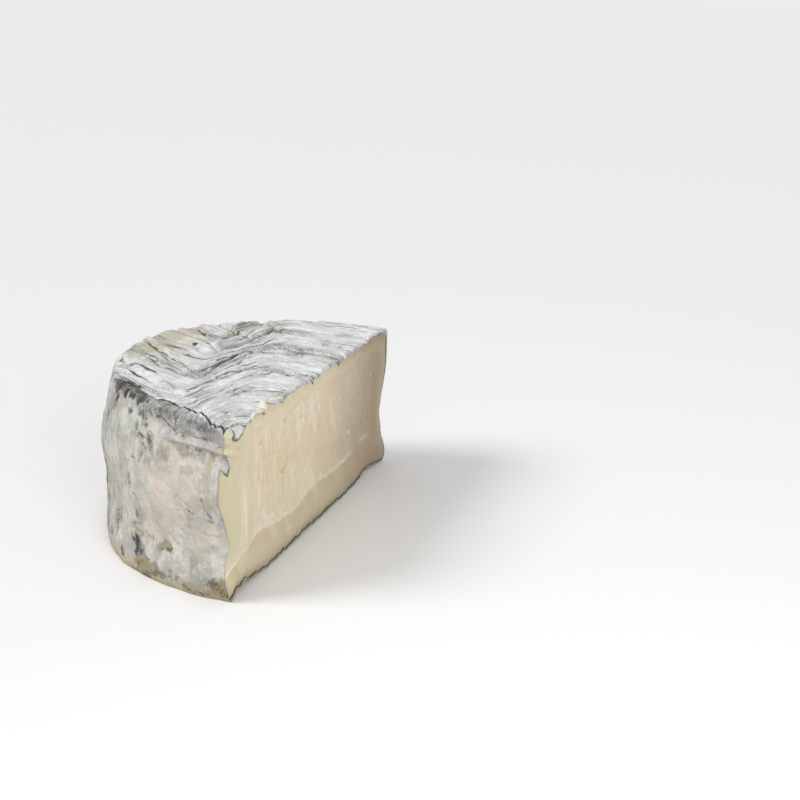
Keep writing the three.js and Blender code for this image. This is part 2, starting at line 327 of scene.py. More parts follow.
# Cell size in millimetres and seed of each plain noise, in the order of the names below.
PLAIN_NOISES = [(4.2, 62), (2.4, 64), (6.5, 61), (1.3, 63), (1.9, 66)]
SMEAR_STEPS = 13
plain_noises = np.stack([noise(plan_x / cell, plan_y / cell, seed) for cell, seed in PLAIN_NOISES])
branching, presence, vigour, fine_ridges, sooting = (
    evened(field) for field in smeared(plain_noises, SMEAR_STEPS)
)
print("average steepness across the folds:", round(float(steepness.mean()), 2))

# %% Pleats, creases and fine ridges as maps
PLEAT_SPACING = 2.9
PLEAT_DEPTH = 1.3
DEPTH_OF_WIDTH = 0.46
CREASE_DEPTH = 0.4
RIDGE_DEPTH = 0.16
# Single deep creases, each a path through places of the plan.
CREASE_PLACES = [
    [(-31.9, 17.4), (-23.7, 16.8), (-18.6, 15), (-13.8, 11.5), (-9.3, 8.6), (-9, 4.6), (-10.8, -0.2)],
    [(-46.2, 24.7), (-37.9, 25.3), (-31.3, 23.4), (-24.8, 23.1),
     (-18.7, 21.6), (-12.5, 18.4), (-8.4, 16.3), (-5, 13.1)],
    [(-9.6, 32.4), (1.1, 29.4), (8.1, 27.8), (13.4, 19.3)],
    [(-36.4, 12.3), (-31.8, 10.8), (-27.2, 5.2)],
    [(-52.8, 17.5), (-49.5, 18.2), (-46.6, 17.1)],
    [(-59.3, 3.2), (-55.5, 1.4), (-52.2, -1.4)],
    [(-57.5, 9.7), (-54, 8.8), (-51, 6.4)],
]

calm = hill(plan_x + 60, 16) * hill(plan_y - 1, 11)
pleat_number = flow / PLEAT_SPACING + 0.24 * branching
pleat_width = 1 / steepness_of(pleat_number)[2]
back_rim = smooth(58, 70, np.hypot(plan_x, plan_y)) * smooth(20, 45, plan_y)
pleat_strength = (0.35 + 0.65 * smooth(-0.9, 0.8, vigour)) * (1 - 0.5 * calm)
pleat_strength = pleat_strength * smooth(1.0, 2.2, pleat_width) * (1 - 0.7 * back_rim)
in_pleat = pleat_number - np.floor(pleat_number)
pleat_back = np.sin(np.pi * in_pleat**1.3) ** 0.75
pleat_depth = np.minimum(DEPTH_OF_WIDTH * pleat_width, PLEAT_DEPTH) * pleat_strength
to_crease = np.minimum(in_pleat, 1 - in_pleat) * pleat_width
crease_share = smooth(-1.0, 0.5, presence) * (0.45 + 0.55 * pleat_strength)
crease_share = crease_share * (1 - smooth(6, 10, pleat_width))
bent_x = plan_x + 0.5 * noise(plan_x / 2, plan_y / 2, 67)
bent_y = plan_y + 0.5 * noise(plan_x / 2, plan_y / 2, 68)
placed_creases = gathered_max(stroke(bent_x, bent_y, path, 0.6) for path in CREASE_PLACES)
pleat_height = (
    -pleat_depth * (1 - pleat_back)
    - CREASE_DEPTH * np.maximum(hill(to_crease, 0.45) * crease_share, 1.3 * placed_creases)
    + RIDGE_DEPTH * (np.clip(fine_ridges, -2, 2) - 2)
)
print("pleats from", round(float(pleat_height.min()), 2), "to", round(float(pleat_height.max()), 2), "mm")

# %% The main folds and the whole relief of the top
main_wave = 0.5 - 0.5 * np.cos(2 * np.pi * flow / FOLD_SPACING)
fold_height = FOLD_DEPTH * (0.65 + 0.35 * noise(plan_x / 19, plan_y / 13, 8)) * (main_wave**0.6 - 0.7)


def top_relief(x, y):
    """A shallow dish, two sagged places, a slow sway, the folds and the furrows, added up."""
    dish = -1.1 * (1 - np.hypot(x, y) / WHEEL_RADIUS)
    near_sag = -2 * hill(x + WHEEL_RADIUS, 13) * hill(y + CUT_OFFSET, 12)
    far_sag = -0.9 * hill(x - 48, 26) * hill(y - 44, 22)
    slow = 0.6 * noise(x / 31, y / 27, 1)
    beside = from_furrow(x, y)
    groove = 0.55 * hill(beside, 1.9) + 0.55 * hill(beside, 0.8) - 0.35 * hill(beside - 2.4, 1.2)
    furrows = -FURROW_DEPTH * furrow_strength(x, y) * groove
    at_back = smooth(60, 72, np.hypot(x, y)) * smooth(15, 40, y)
    folds = (read_map(fold_height, x, y) + furrows) * (1 - 0.5 * at_back)
    return dish + near_sag + far_sag + slow + folds


print("height of the top in the middle:", round(float(WHEEL_HEIGHT + top_relief(0.0, 20.0)), 2), "mm")

# %% [markdown]
# ## The grid of the drum
#
# Any point of the skin belongs to a place of a half disc, an inset from the widest girth and a
# height. A square grid is pressed into the half disc, so that its rows stay even and no pole is
# needed. The wall is the rim of that disc, carried down through the levels of the profile, which
# are first smoothed and then spaced more closely at the rim. The wall has a finer relief of its own:
# lumps, pits and fibres, small puffs of slack skin, and a raised belt under the near part of the rim,
# where the skin was once folded over.

# %% Half disc and profile
PROFILE_POINTS, SOFTENING_ROUNDS = 561, 90


def half_disc(u, v):
    """Presses the square u from -1 to 1, v from 0 to 1 into the half disc with v = 0 straight."""
    return u * np.sqrt(1 - v * v / 2), v * np.sqrt(1 - u * u / 2)


def profile(shares):
    """Insets and heights at shares of the way down the wall: the levels, softened and respaced."""
    step = np.hypot(*np.diff(WALL_LEVELS, axis=0).T)
    length = np.concatenate([[0], np.cumsum(step)])
    even = np.linspace(0, length[-1], PROFILE_POINTS)
    points = np.stack([np.interp(even, length, WALL_LEVELS[:, k]) for k in (0, 1)], -1)
    for _ in range(SOFTENING_ROUNDS):
        points[1:-1] = 0.25 * points[:-2] + 0.5 * points[1:-1] + 0.25 * points[2:]
    wanted = length[-1] * (0.72 * shares + 0.28 * shares**2)
    return np.interp(wanted, even, points[:, 0]), np.interp(wanted, even, points[:, 1])


print("profile, top to base:", np.round(np.stack(profile(np.linspace(0, 1, 5)), -1), 1).tolist())

# %% Fine relief of the wall
BELT_DEGREES = [150, 158, 163, 168, 173, 178, 183, 188]
BELT_HEIGHTS = [54.8, 54.6, 55.1, 55.3, 55.0, 54.5, 53.0, 52.0]
# Single creases of the wall: depth, width, and places by distance round the wall and height.
WALL_CREASES = [
    (0.55, 0.8, [(225, 32), (229.5, 31.3), (234, 30)]),
    (0.6, 0.8, [(231.2, 37.6), (233, 33.8), (235.4, 30.4)]),
    (0.5, 0.7, [(203.6, 60.5), (206.3, 58.8), (210, 60.4), (213.9, 58.1), (218.6, 56.6)]),
]


def belt_height(angle):
    """Height of the raised belt: read between places round the wall, and a little uneven."""
    return np.interp(np.degrees(angle), BELT_DEGREES, BELT_HEIGHTS) + 0.25 * noise(angle * 14, 1.5, 103)


def puffs(arc, z):
    """Rounded puffs of skin with thin creases between them: the size, without its sign, of a noise
    whose places are bent by a slower one. It is 0 in the creases."""
    return np.abs(noise(arc / 4.6 + 0.6 * noise(arc / 8, z / 7, 78), z / 3.1 + 0.06 * arc, 77))


def wall_grain(angle, z):
    """Lumps, pits and upright fibres of the wall, mostly inwards, in millimetres."""
    arc = angle * WHEEL_RADIUS
    lumps = 0.45 * cloud(arc / 8, z / 9, 71)
    side = 0.4 + 0.6 * hill(angle - 2.2, 0.5)
    fibres = 0.12 * side * noise(arc / 1.5 + 0.9 * noise(arc / 6, z / 9, 72), z / 6.5, 73)
    pits = -0.45 * smooth(0.5, 0.85, cloud(arc / 3.3, z / 3.6, 74))
    rim_groove = -0.6 * hill(z - 62.8 - 0.4 * noise(arc / 5, 0.5, 75), 0.8) * smooth(1.9, 2.6, angle)
    from_belt = z - belt_height(angle)
    belt_ridge = 1.7 * hill(from_belt, 1.0) - 0.6 * hill(from_belt - 2, 0.7)
    belt_ridge = (belt_ridge - 0.6 * hill(from_belt + 2, 0.9)) * smooth(2.72, 2.84, angle)
    near_end = hill(angle - 3.2, 0.11)
    ripples = 0.45 * np.sin(1.05 * z + 1.5 * noise(arc / 7, z / 11, 76)) * near_end * hill(z - 21, 12)
    creases = -sum(depth * stroke(arc, z, places, width) for depth, width, places in WALL_CREASES)
    puffed = (0.55 * puffs(arc, z) - 0.4) * (1 - hill(from_belt, 4)) * smooth(1.5, 6, z)
    return lumps + fibres + pits + rim_groove + belt_ridge + ripples + creases + puffed - 0.25


print("height of the belt at the cut:", round(float(belt_height(np.pi)), 1), "mm")

# %% Points of the skin
def skin(unit_x, unit_y, inset, height, fine=1.0, behind=0.0):
    """Points of the drum's skin over places of the half disc. The straight side can lie behind the
    cut, and fine = 0 leaves out the pleats and the grain."""
    x = unit_x * (WHEEL_RADIUS - inset)
    y = unit_y * (WHEEL_RADIUS - inset + CUT_OFFSET - behind) - CUT_OFFSET + behind
    reach = np.hypot(unit_x, unit_y)
    angle = np.arctan2(np.abs(unit_y), unit_x)
    top_share = 1 - smooth(0, 7, WHEEL_HEIGHT - height)
    relief = wall_relief(angle, height) + fine * (1 - top_share) * wall_grain(angle, height)
    outward = reach * relief * smooth(0.2, 1, reach) / np.maximum(reach, 1e-6)
    px, py = x + unit_x * outward, y + unit_y * outward
    back = drawn_back(px, height) + top_drawn_back(px) * smooth(50, 60, height)
    stray = (cut_stray(px, height) + back) * hill(py + CUT_OFFSET, 9)
    lift = top_relief(px, py) + fine * read_map(pleat_height, px, py)
    return np.stack([px, py + stray, height + top_share * lift + 0 * px], -1)


def spread(count):
    """Places from -1 to 1, crowded towards -1 by a power, so that the near end gets finer faces."""
    return 2 * np.linspace(0, 1, count + 1) ** 1.3 - 1


def rim_units(across, deep):
    """The half disc's rim from the far end of the cut, round the back, to its near end."""
    side = np.arange(deep) / deep
    over = spread(across)[:0:-1]
    u = np.concatenate([np.ones(deep), over, -np.ones(deep + 1)])
    v = np.concatenate([side, np.ones(across), 1 - np.arange(deep + 1) / deep])
    return half_disc(u, v)


def disc_grid(across, deep):
    """Places of the half disc on a grid: rows from the cut to the back, columns along the cut."""
    return half_disc(*np.meshgrid(spread(across), np.linspace(0, 1, deep + 1)))


print("a coarse grid of the half disc:", disc_grid(4, 2)[0].shape)

# %% [markdown]
# ## Collecting a mesh
#
# Each piece is joined from several grids that share their border points, so that it closes without
# a merge. A fine border meets a four times coarser one through a row of triangles, which saves faces
# where nobody looks, such as the inside of the rind.

# %% A collector of points and faces
class Collector:
    """Gathers points in millimetres, quads and triangles, and makes one smooth mesh of them."""

    def __init__(self):
        self.points, self.top_shares, self.lip_shares = [], [], []
        self.quads, self.triangles = [], []
        self.count = 0

    def add(self, points, top_share=0.0, lip_share=0.0):
        """Stores an array of points and returns their numbers in the same arrangement."""
        flat = points.reshape(-1, 3)
        numbers = np.arange(self.count, self.count + len(flat)).reshape(points.shape[:-1])
        self.points.append(flat)
        self.top_shares.append(np.broadcast_to(top_share, points.shape[:-1]).ravel())
        self.lip_shares.append(np.broadcast_to(lip_share, points.shape[:-1]).ravel())
        self.count += len(flat)
        return numbers

    def grid(self, rows, flip=False):
        """Quads between neighbouring rows. Unflipped, they face one who sees the columns run right
        and the rows run up."""
        a, b, c, d = rows[:-1, :-1], rows[:-1, 1:], rows[1:, 1:], rows[1:, :-1]
        order = (a, d, c, b) if flip else (a, b, c, d)
        self.quads.append(np.stack([q.ravel() for q in order], -1))

    def zipper(self, fine, coarse, flip=False):
        """Joins a closed loop to one with a quarter of its points by fans of triangles."""
        first, second = coarse, np.roll(coarse, -1)
        f = [fine[m::4] for m in range(4)] + [np.roll(fine[::4], -1)]
        fans = [(first, f[0], f[1]), (first, f[1], f[2]), (first, f[2], second),
                (second, f[2], f[3]), (second, f[3], f[4])]
        for a, b, c in fans:
            self.triangles.append(np.stack([a, c, b] if flip else [a, b, c], -1))

    def gathered(self):
        """All points, and the faces as clean quads and triangles: a quad that has shrunk to three
        corners becomes a triangle."""
        quads = np.concatenate(self.quads)
        triangles = list(self.triangles)
        for k in range(4):
            shrunk = quads[:, k] == quads[:, (k + 1) % 4]
            triangles.append(np.delete(quads[shrunk], k, axis=1))
            quads = quads[~shrunk]
        return np.concatenate(self.points), quads, np.concatenate(triangles)

    def make(self, name):
        """The finished object: points moved to the model's frame, faces set as whole arrays."""
        points, quads, triangles = self.gathered()
        points = (points + AXIS_FROM_BASE_MIDDLE) / 1000
        points = np.clip(points, np.array(cad_lowest), np.array(cad_highest))
        mesh = bpy.data.meshes.new(name)
        mesh.vertices.add(len(points))
        mesh.vertices.foreach_set("co", points.astype(np.float32).ravel())
        mesh.loops.add(quads.size + triangles.size)
        corners = np.concatenate([quads.ravel(), triangles.ravel()])
        mesh.loops.foreach_set("vertex_index", corners.astype(np.int32))
        mesh.polygons.add(len(quads) + len(triangles))
        quad_starts = 4 * np.arange(len(quads))
        triangle_starts = quads.size + 3 * np.arange(len(triangles))
        starts = np.concatenate([quad_starts, triangle_starts])
        mesh.polygons.foreach_set("loop_start", starts.astype(np.int32))
        mesh.polygons.foreach_set("use_smooth", np.ones(len(starts), bool))
        mesh.update(calc_edges=True)
        mesh.validate()
        obj = bpy.data.objects.new(name, mesh)
        bpy.context.scene.collection.objects.link(obj)
        print(name, "has", 2 * len(quads) + len(triangles), "triangles")
        return obj


print("the collector makes quads and fans")

# %% Stored values, and borders of the grids
def write_values(obj, name, values):
    """Stores one number for each point of a mesh, for the material to read."""
    layer = obj.data.attributes.new(name, "FLOAT", "POINT")
    layer.data.foreach_set("value", np.asarray(values, np.float32).ravel())


def round_border(grid):
    """The round side of a half disc's grid, from the far end of the cut to its near end."""
    return np.concatenate([grid[:-1, -1], grid[-1, :0:-1], grid[::-1, 0]])


def opening(top, wall, foot):
    """The loop round the cut, clockwise from the near top corner, seen from the front."""
    return np.concatenate([top[0], wall[1:, 0], foot[-2:0:-1], wall[:0:-1, -1]])


print("the round side of a coarse grid has", len(round_border(disc_grid(64, 32)[0])), "points")

# %% A plain drum
def drum(piece, across, deep, rows, thickness, drop, behind, inside_out):
    """A plain drum, open at the cut, inside the skin by a thickness. Its top lies lower by a drop.
    Returns the loop of its opening."""
    insets, heights = profile(np.linspace(0, 1, rows + 1))

    def placed(ux, uy, inset, height):
        """Points of the skin moved in by the thickness and squeezed to the lower top."""
        points = skin(ux, uy, inset + thickness, height, 0, behind)
        points[..., 2] = thickness + points[..., 2] * (1 - (thickness + drop) / WHEEL_HEIGHT)
        return points

    ux, uy = disc_grid(across, deep)
    top = piece.add(placed(ux, uy, insets[0], heights[0] + 0 * ux))
    rim_x, rim_y = rim_units(across, deep)
    below = placed(rim_x[None], rim_y[None], insets[1:, None], heights[1:, None] + 0 * rim_x[None])
    wall = np.concatenate([round_border(top)[None], piece.add(below)])
    base_points = placed(ux, uy, insets[-1], 0 * ux)
    base = np.zeros(ux.shape, int)
    base[:-1, 1:-1] = piece.add(base_points[:-1, 1:-1])
    base[:-1, -1] = wall[-1, :deep]
    base[-1, ::-1] = wall[-1, deep:deep + across + 1]
    base[::-1, 0] = wall[-1, deep + across:]
    piece.grid(top, inside_out)
    piece.grid(wall, not inside_out)
    piece.grid(base, not inside_out)
    return opening(top, wall, base[0])


print("a coarse drum's rim has", len(rim_units(64, 32)[0]), "points")

# %% [markdown]
# ## The edge of the cut
#
# The knife dragged the rind over the edge, so its border curls onto the paste: ragged along the top,
# thin along the foot, with a flap that hangs from the near corner of the top and a tongue that leans
# down from the belt's end. The outline of the cut is one closed loop. At each of its points the
# border has a width, and rows of points run inwards along it.

# %% Outline of the cut
RIND_ACROSS, RIND_DEEP, RIND_ROWS = 256, 128, 84


def cut_outline(across, rows):
    """The loop of the cut's edge, clockwise from the near top corner seen from the front: along the
    top, down the far end, back along the lower edge and up the near end."""
    u = spread(across)
    insets, heights = profile(np.linspace(0, 1, rows + 1))
    top = skin(u, 0 * u, insets[0], heights[0] + 0 * u)
    near = skin(-1 + 0 * insets, 0 * insets, insets, heights)
    far = skin(1 + 0 * insets, 0 * insets, insets, heights)
    x = np.interp(u[-2:0:-1], [-1, 1], [near[-1, 0], far[-1, 0]])
    from_end = np.minimum(x - near[-1, 0], far[-1, 0] - x)
    lift = lower_edge(x) * smooth(0, 5, from_end)
    low = np.stack([x, -CUT_OFFSET + cut_stray(x, 0), lift], -1)
    return np.concatenate([top, far[1:], low, near[:0:-1]])


def sides_of(loop, across, rows):
    """The loop's top, far end, foot and near end: top and foot run to the far end, the ends run up."""
    far_foot, near_foot = across + rows, 2 * across + rows
    far_end = loop[across: far_foot + 1][::-1]
    foot = loop[far_foot: near_foot + 1][::-1]
    return loop[: across + 1], far_end, foot, np.concatenate([loop[near_foot:], loop[:1]])


outline = cut_outline(RIND_ACROSS, RIND_ROWS)
top_edge, far_edge, low_edge, near_edge = sides_of(outline, RIND_ACROSS, RIND_ROWS)
print("cut outline:", len(outline), "points,", np.round(outline.min(0), 1), np.round(outline.max(0), 1))

# %% Width and reach of the rind's border
def inward_directions(loop, reach=5):
    """Directions from the loop into the face: its run, averaged over neighbours, turned a quarter."""
    run = np.roll(loop, -1, 0) - np.roll(loop, 1, 0)
    run = run / (np.linalg.norm(run, axis=1, keepdims=True) + 1e-9)
    run = sum(np.roll(run, k, 0) for k in range(-reach, reach + 1))
    run /= np.linalg.norm(run[:, [0, 2]], axis=1, keepdims=True) + 1e-9
    return np.stack([run[:, 2], 0 * run[:, 0], -run[:, 0]], -1)


def edge_run(loop):
    """Distance along the loop from its near top corner: plus along the top, minus down the end."""
    step = np.linalg.norm(np.roll(loop, -1, 0) - loop, axis=1)
    run = np.cumsum(step) - step
    return np.where(run > 0.6 * step.sum(), run - step.sum(), run)


def lip_widths(loop):
    """Width of the rind's plain border at each point of the loop, ragged along the top."""
    x, z = loop[:, 0], loop[:, 2]
    on_top = smooth(57, 61, z) * smooth(-1.5, 0.5, edge_run(loop))
    on_foot = 1 - smooth(3, 7, z)
    ragged = 0.5 + 0.5 * cloud(x / 2.6, z / 3.1, 21)
    loops = on_foot * (0.9 * hill(x + 58, 17) + 0.35) * np.clip(noise(x / 2.9, 3.5, 22), 0, 1)
    return 0.4 + 0.2 * ragged + on_top * (0.1 + 1.3 * ragged**1.7) + 0.25 * on_foot + 1.3 * loops


def lip_reach(loop):
    """The vector by which the border reaches over the face: its width inwards, a flap that hangs
    from the near corner of the top, and a tongue that leans down from the belt's end."""
    run = edge_run(loop)
    reach = inward_directions(loop) * lip_widths(loop)[:, None]
    flap = 4.1 * np.clip(1 - np.abs(run - 2.0) / 2.9, 0, 1) ** 0.75
    tongue = 4.8 * hill(run + 16.2, 1.4)
    reach[:, 0] -= 0.05 * tongue + (0.9 - 0.4 * smooth(0.5, 2.5, run)) * flap
    reach[:, 2] -= tongue + flap
    return reach


print("border of the rind, mm wide:", np.round([lip_widths(outline).min(), lip_widths(outline).max()], 1))

# %% [markdown]
# ## Relief of the cut face
#
# The core is firm and a little crumbly, and the band that ripened under the rind is soft. The band
# has swelled out of the cut, and at the foot the core breaks off against it in a crisp step. Each of
# these is a function of the place on the face, so that the mesh and the colours follow the same lines.

# %% The soft band and the step
def from_edges(x, z):
    """Distances from the near, far, upper and lower edge of the cut, read from its outline."""
    near = np.interp(z, near_edge[:, 2], near_edge[:, 0])
    far = np.interp(z, far_edge[:, 2], far_edge[:, 0])
    high = np.interp(x, top_edge[:, 0], top_edge[:, 2])
    low = np.interp(x, low_edge[:, 0], low_edge[:, 2])
    return x - near, far - x, high - z, z - low


# The step where the core breaks off: places along the cut, and heights.
STEP_LINE = np.array([
    (-80, 2), (-69.5, 11.5), (-64.5, 14.8), (-58.6, 16.7), (-54, 17.8), (-46, 17.1), (-34.4, 15.3),
    (-20.4, 14.4), (-8.7, 16.7), (0.7, 17.6), (11.8, 16.4), (24.3, 16.2), (48, 18), (62, 17), (80, 15),
], float)


def above_step(x, z):
    """Height above the line where the core breaks off against the soft band of the foot."""
    line = np.interp(x, STEP_LINE[:, 0], STEP_LINE[:, 1])
    return z - line - 0.5 * noise(x / 4, z / 9, 34) - 0.35 * noise(x / 1.7, 0.5, 37)


def foot_share(x, z):
    """1 in the soft band of the foot, with a crisp step at its upper side."""
    return 1 - smooth(-0.35, 0.35, above_step(x, z))


def band_share(x, z):
    """1 in the soft band under the rind and 0 in the core: soft at the ends, crisp at the foot."""
    near, far, high, _ = from_edges(x, z)
    drift = 1.5 * noise(x / 12, z / 12, 33) + 0.5 * noise(x / 4, z / 4, 34)
    head = 1 - smooth(-2.2, 2.2, high - 5.5 - 0.5 * drift)
    ends = 1 - smooth(-4, 4, soft_min(near, far, 3) - BAND_WIDTH - drift)
    return 1 - (1 - foot_share(x, z)) * (1 - head) * (1 - ends)


print("share of the band at heights of 5, 35 and 55 mm:",
      np.round(band_share(np.zeros(3), np.array([5.0, 35.0, 55.0])), 2))

# %% Surface of the cut face
def face_relief(x, z):
    """How far the paste stands out of the knife's plane: the band has swelled, the knife left soft
    upright strokes, and the core is a little crumbly and breaks off at the step."""
    near, far, high, low = from_edges(x, z)
    from_edge = np.clip(np.minimum(np.minimum(near, far), np.minimum(high, low)), 0, None)
    band = band_share(x, z)
    swell = BAND_SWELL * band * smooth(0, 5, from_edge)
    over = above_step(x, z)
    step = 0.55 * smooth(-0.3, 0.3, over) * hill(over, 5) - 0.25 * hill(over + 0.5, 0.8)
    knife = 0.3 * noise(x / 7, z / 26, 31) + 0.5 * noise(x / 34, z / 30, 32)
    strokes = 0.08 * noise(x / 1.7 + 0.12 * z, z / 15, 35) + 0.07 * noise(x / 0.8 + 0.2 * z, z / 6, 39)
    strokes = strokes * (1 - 0.7 * band)
    crumbs = (0.2 * cloud(x / 2.4, z / 3.0, 36) + 0.15 * noise(x / 1.1, z / 1.2, 38)) * (1 - 0.85 * band)
    return (swell + step + knife + strokes + crumbs) * smooth(0, 1.2, from_edge)


def face_y(x, z):
    """Depth of the cut's surface before its relief: the knife's plane with its stray, and round
    corners, quarter circles, where the rind has drawn back at the near end and along the top."""
    near, _, high, _ = from_edges(x, z)
    corner = quarter_round((near - 0.6) / CORNER_ROUND)
    upper_corner = quarter_round((high - 0.5) / TOP_ROUND)
    back = np.maximum(drawn_back(-70, z) * corner, top_drawn_back(x) * upper_corner)
    return -CUT_OFFSET + cut_stray(x, z) + back


print("relief in the middle:", round(float(face_relief(np.zeros(1), np.full(1, 35.0))[0]), 2), "mm")

# %% [markdown]
# ## The rind
#
# The rind is one closed skin: the fine outer surface of top, wall and base, the border that curls
# onto the cut, and a coarse inner surface about a millimetre inside. A Solidify modifier could give
# it thickness, but would double the faces, and the folds are deeper than the skin is thick.

# %% The rind's outer surface
rind_mesh = Collector()
disc_x, disc_y = disc_grid(RIND_ACROSS, RIND_DEEP)
wall_insets, wall_heights = profile(np.linspace(0, 1, RIND_ROWS + 1))
top = rind_mesh.add(skin(disc_x, disc_y, wall_insets[0], wall_heights[0] + 0 * disc_x), top_share=1.0)
rim_x, rim_y = rim_units(RIND_ACROSS, RIND_DEEP)
below_rim = skin(rim_x[None], rim_y[None], wall_insets[1:, None], wall_heights[1:, None] + 0 * rim_x[None])
rim_share = 1 - smooth(0, 2.2, WHEEL_HEIGHT - wall_heights[1:, None])
wall = np.concatenate([round_border(top)[None], rind_mesh.add(below_rim, top_share=rim_share)])
rind_mesh.grid(top)
rind_mesh.grid(wall, flip=True)
print("top and wall:", rind_mesh.count, "points")

# %% The foot: the lower edge, a narrow strip down to the base, and the flat base
BASE_MARGIN = 2
edge_points = low_edge[1:-1]
edge_x = edge_points[:, 0]
edge_share = smooth(0, 5, np.minimum(edge_x - edge_x[0] + 0.5, edge_x[-1] + 0.5 - edge_x))
edge_rows = [rind_mesh.add(edge_points)]
for share in (0.3, 0.65, 1.0):
    row = edge_points.copy()
    row[:, 1] += FOOT_SETBACK * share * edge_share
    row[:, 2] *= (1 - share) ** 1.3
    edge_rows.append(rind_mesh.add(row))
near_foot, far_foot = wall[-1, -1:], wall[-1, :1]
edge_rows = np.stack([np.concatenate([near_foot, row, far_foot]) for row in edge_rows])
rind_mesh.grid(edge_rows, flip=True)

base_x, base_y = disc_grid(RIND_ACROSS // 4, RIND_DEEP // 4)
base_inset = wall_insets[-1] + BASE_MARGIN
base_points = skin(base_x, base_y, base_inset, 0 * base_x, 0, FOOT_SETBACK + BASE_MARGIN)
base_points[..., 2] = 0
base = rind_mesh.add(base_points)
rind_mesh.grid(base, flip=True)
base_loop = np.concatenate([round_border(base)[:-1], base[0, :-1]])
foot_loop = np.concatenate([wall[-1, :-1], edge_rows[-1, :-1]])
rind_mesh.zipper(foot_loop, base_loop, flip=True)
print("outer surface:", rind_mesh.count, "points")

# %% The rind's border on the cut
LIP_RISE = 0.55
# Rows of the border: share of its reach, and share of its rise over the paste.
LIP_ROWS = [
    (0.1, 0.6), (0.25, 1.0), (0.45, 1.0), (0.65, 1.0), (0.85, 1.0), (0.97, 0.7), (1.0, -0.1),
    (0.98, -1.6),
]
reach = lip_reach(outline)
reach_length = np.hypot(reach[:, 0], reach[:, 2])
outline_top = smooth(58, 61, outline[:, 2])
lip_rows = [opening(top, wall, edge_rows[0])]
for share, rise in LIP_ROWS:
    place = outline + reach * share
    lifted = LIP_RISE * rise * np.clip(reach_length, 0.25, 1)
    curled = 0.45 * share**2 * smooth(1.5, 4, reach_length) * (rise > 0)
    surface = face_y(place[:, 0], place[:, 2]) - face_relief(place[:, 0], place[:, 2])
    blend = smooth(0, 0.5, share * reach_length)
    near = from_edges(place[:, 0], place[:, 2])[0]
    sideways = smooth(0.1, 0.5, quarter_round((near - 0.6) / CORNER_ROUND))
    place[:, 0] -= 0.6 * (lifted + curled) * sideways * (rise > 0)
    place[:, 1] = outline[:, 1] * (1 - blend) + surface * blend - lifted - curled
    lip_rows.append(rind_mesh.add(place, top_share=outline_top, lip_share=share))
lip_rows = np.stack(lip_rows)
rind_mesh.grid(np.concatenate([lip_rows, lip_rows[:, :1]], 1), flip=True)
print("longest reach of the border:", round(float(reach_length.max()), 1), "mm")

# %% The rind's inner surface
RIND_THICKNESS = 1.1
inner_loop = drum(rind_mesh, RIND_ACROSS // 4, RIND_DEEP // 4, RIND_ROWS // 4, thickness=RIND_THICKNESS,
                  drop=RIND_THICKNESS + 0.9, behind=2.5, inside_out=True)
rind_mesh.zipper(lip_rows[-1], inner_loop, flip=True)
rind = rind_mesh.make("rind")

# %% [markdown]
# ## Colour masks on the rind
#
# White and blue-grey mould covers black ash, and the ash shows where the skin is creased or rubbed.
# Other masks are painted shade: in the valleys of the folds and pleats, in the wall's creases, on the
# rim's shoulder and under the raised belt.
# Old bloom has turned tan in places, and the foot is stained. Each of these is a mask: one number
# for each point, made of a few placed patches and strokes whose edges are broken up by noise. An
# image painted by hand could do the same, but masks stay sharp at any size. The material frays their
# borders with grain finer than the mesh, and blends its colours by them. Patches are placed by x and
# y on the top, and by degrees round the wheel and height on the wall.

# %% Where each point of the rind lies
rind_points = np.concatenate(rind_mesh.points)
on_top = np.concatenate(rind_mesh.top_shares)
on_lip = np.concatenate(rind_mesh.lip_shares)
x, y, z = rind_points.T
theta = np.degrees(np.arctan2(y, x)) % 360
theta = np.where(theta > 270, theta - 360, theta)
arc = np.radians(theta) * WHEEL_RADIUS
print("points on the top:", int((on_top > 0.5).sum()))

# %% Patches, and strokes on the wall
def patches(u, v, rows, seed, ragged=0.45, across=1.0, bent=1.0):
    """The strongest of a list of oval patches, each given by its centre, two radii, turn and strength.
    The places are first pushed about by two sizes of noise, which gives them frayed outlines, and
    the first coordinate of the centre is multiplied by across."""
    pushed_u = u + bent * (1.7 * noise(u / 4, v / 4, seed + 90) + 0.8 * noise(u / 1.5, v / 1.5, seed + 91))
    pushed_v = v + bent * (1.7 * noise(u / 4, v / 4, seed + 92) + 0.8 * noise(u / 1.5, v / 1.5, seed + 93))
    return gathered_max(
        strength * patch(pushed_u, pushed_v, (cu * across, cv), (ru, rv), turn, seed + k, ragged)
        for k, (cu, cv, ru, rv, turn, strength) in enumerate(rows)
    )


MM_PER_DEGREE = WHEEL_RADIUS * math.pi / 180


def wall_stroke(places, width):
    """A line on the wall through places that are given by degrees round the wheel and height."""
    return stroke(arc, z, [(degrees * MM_PER_DEGREE, height) for degrees, height in places], width)


print("one degree of the wall is", round(MM_PER_DEGREE, 2), "mm")

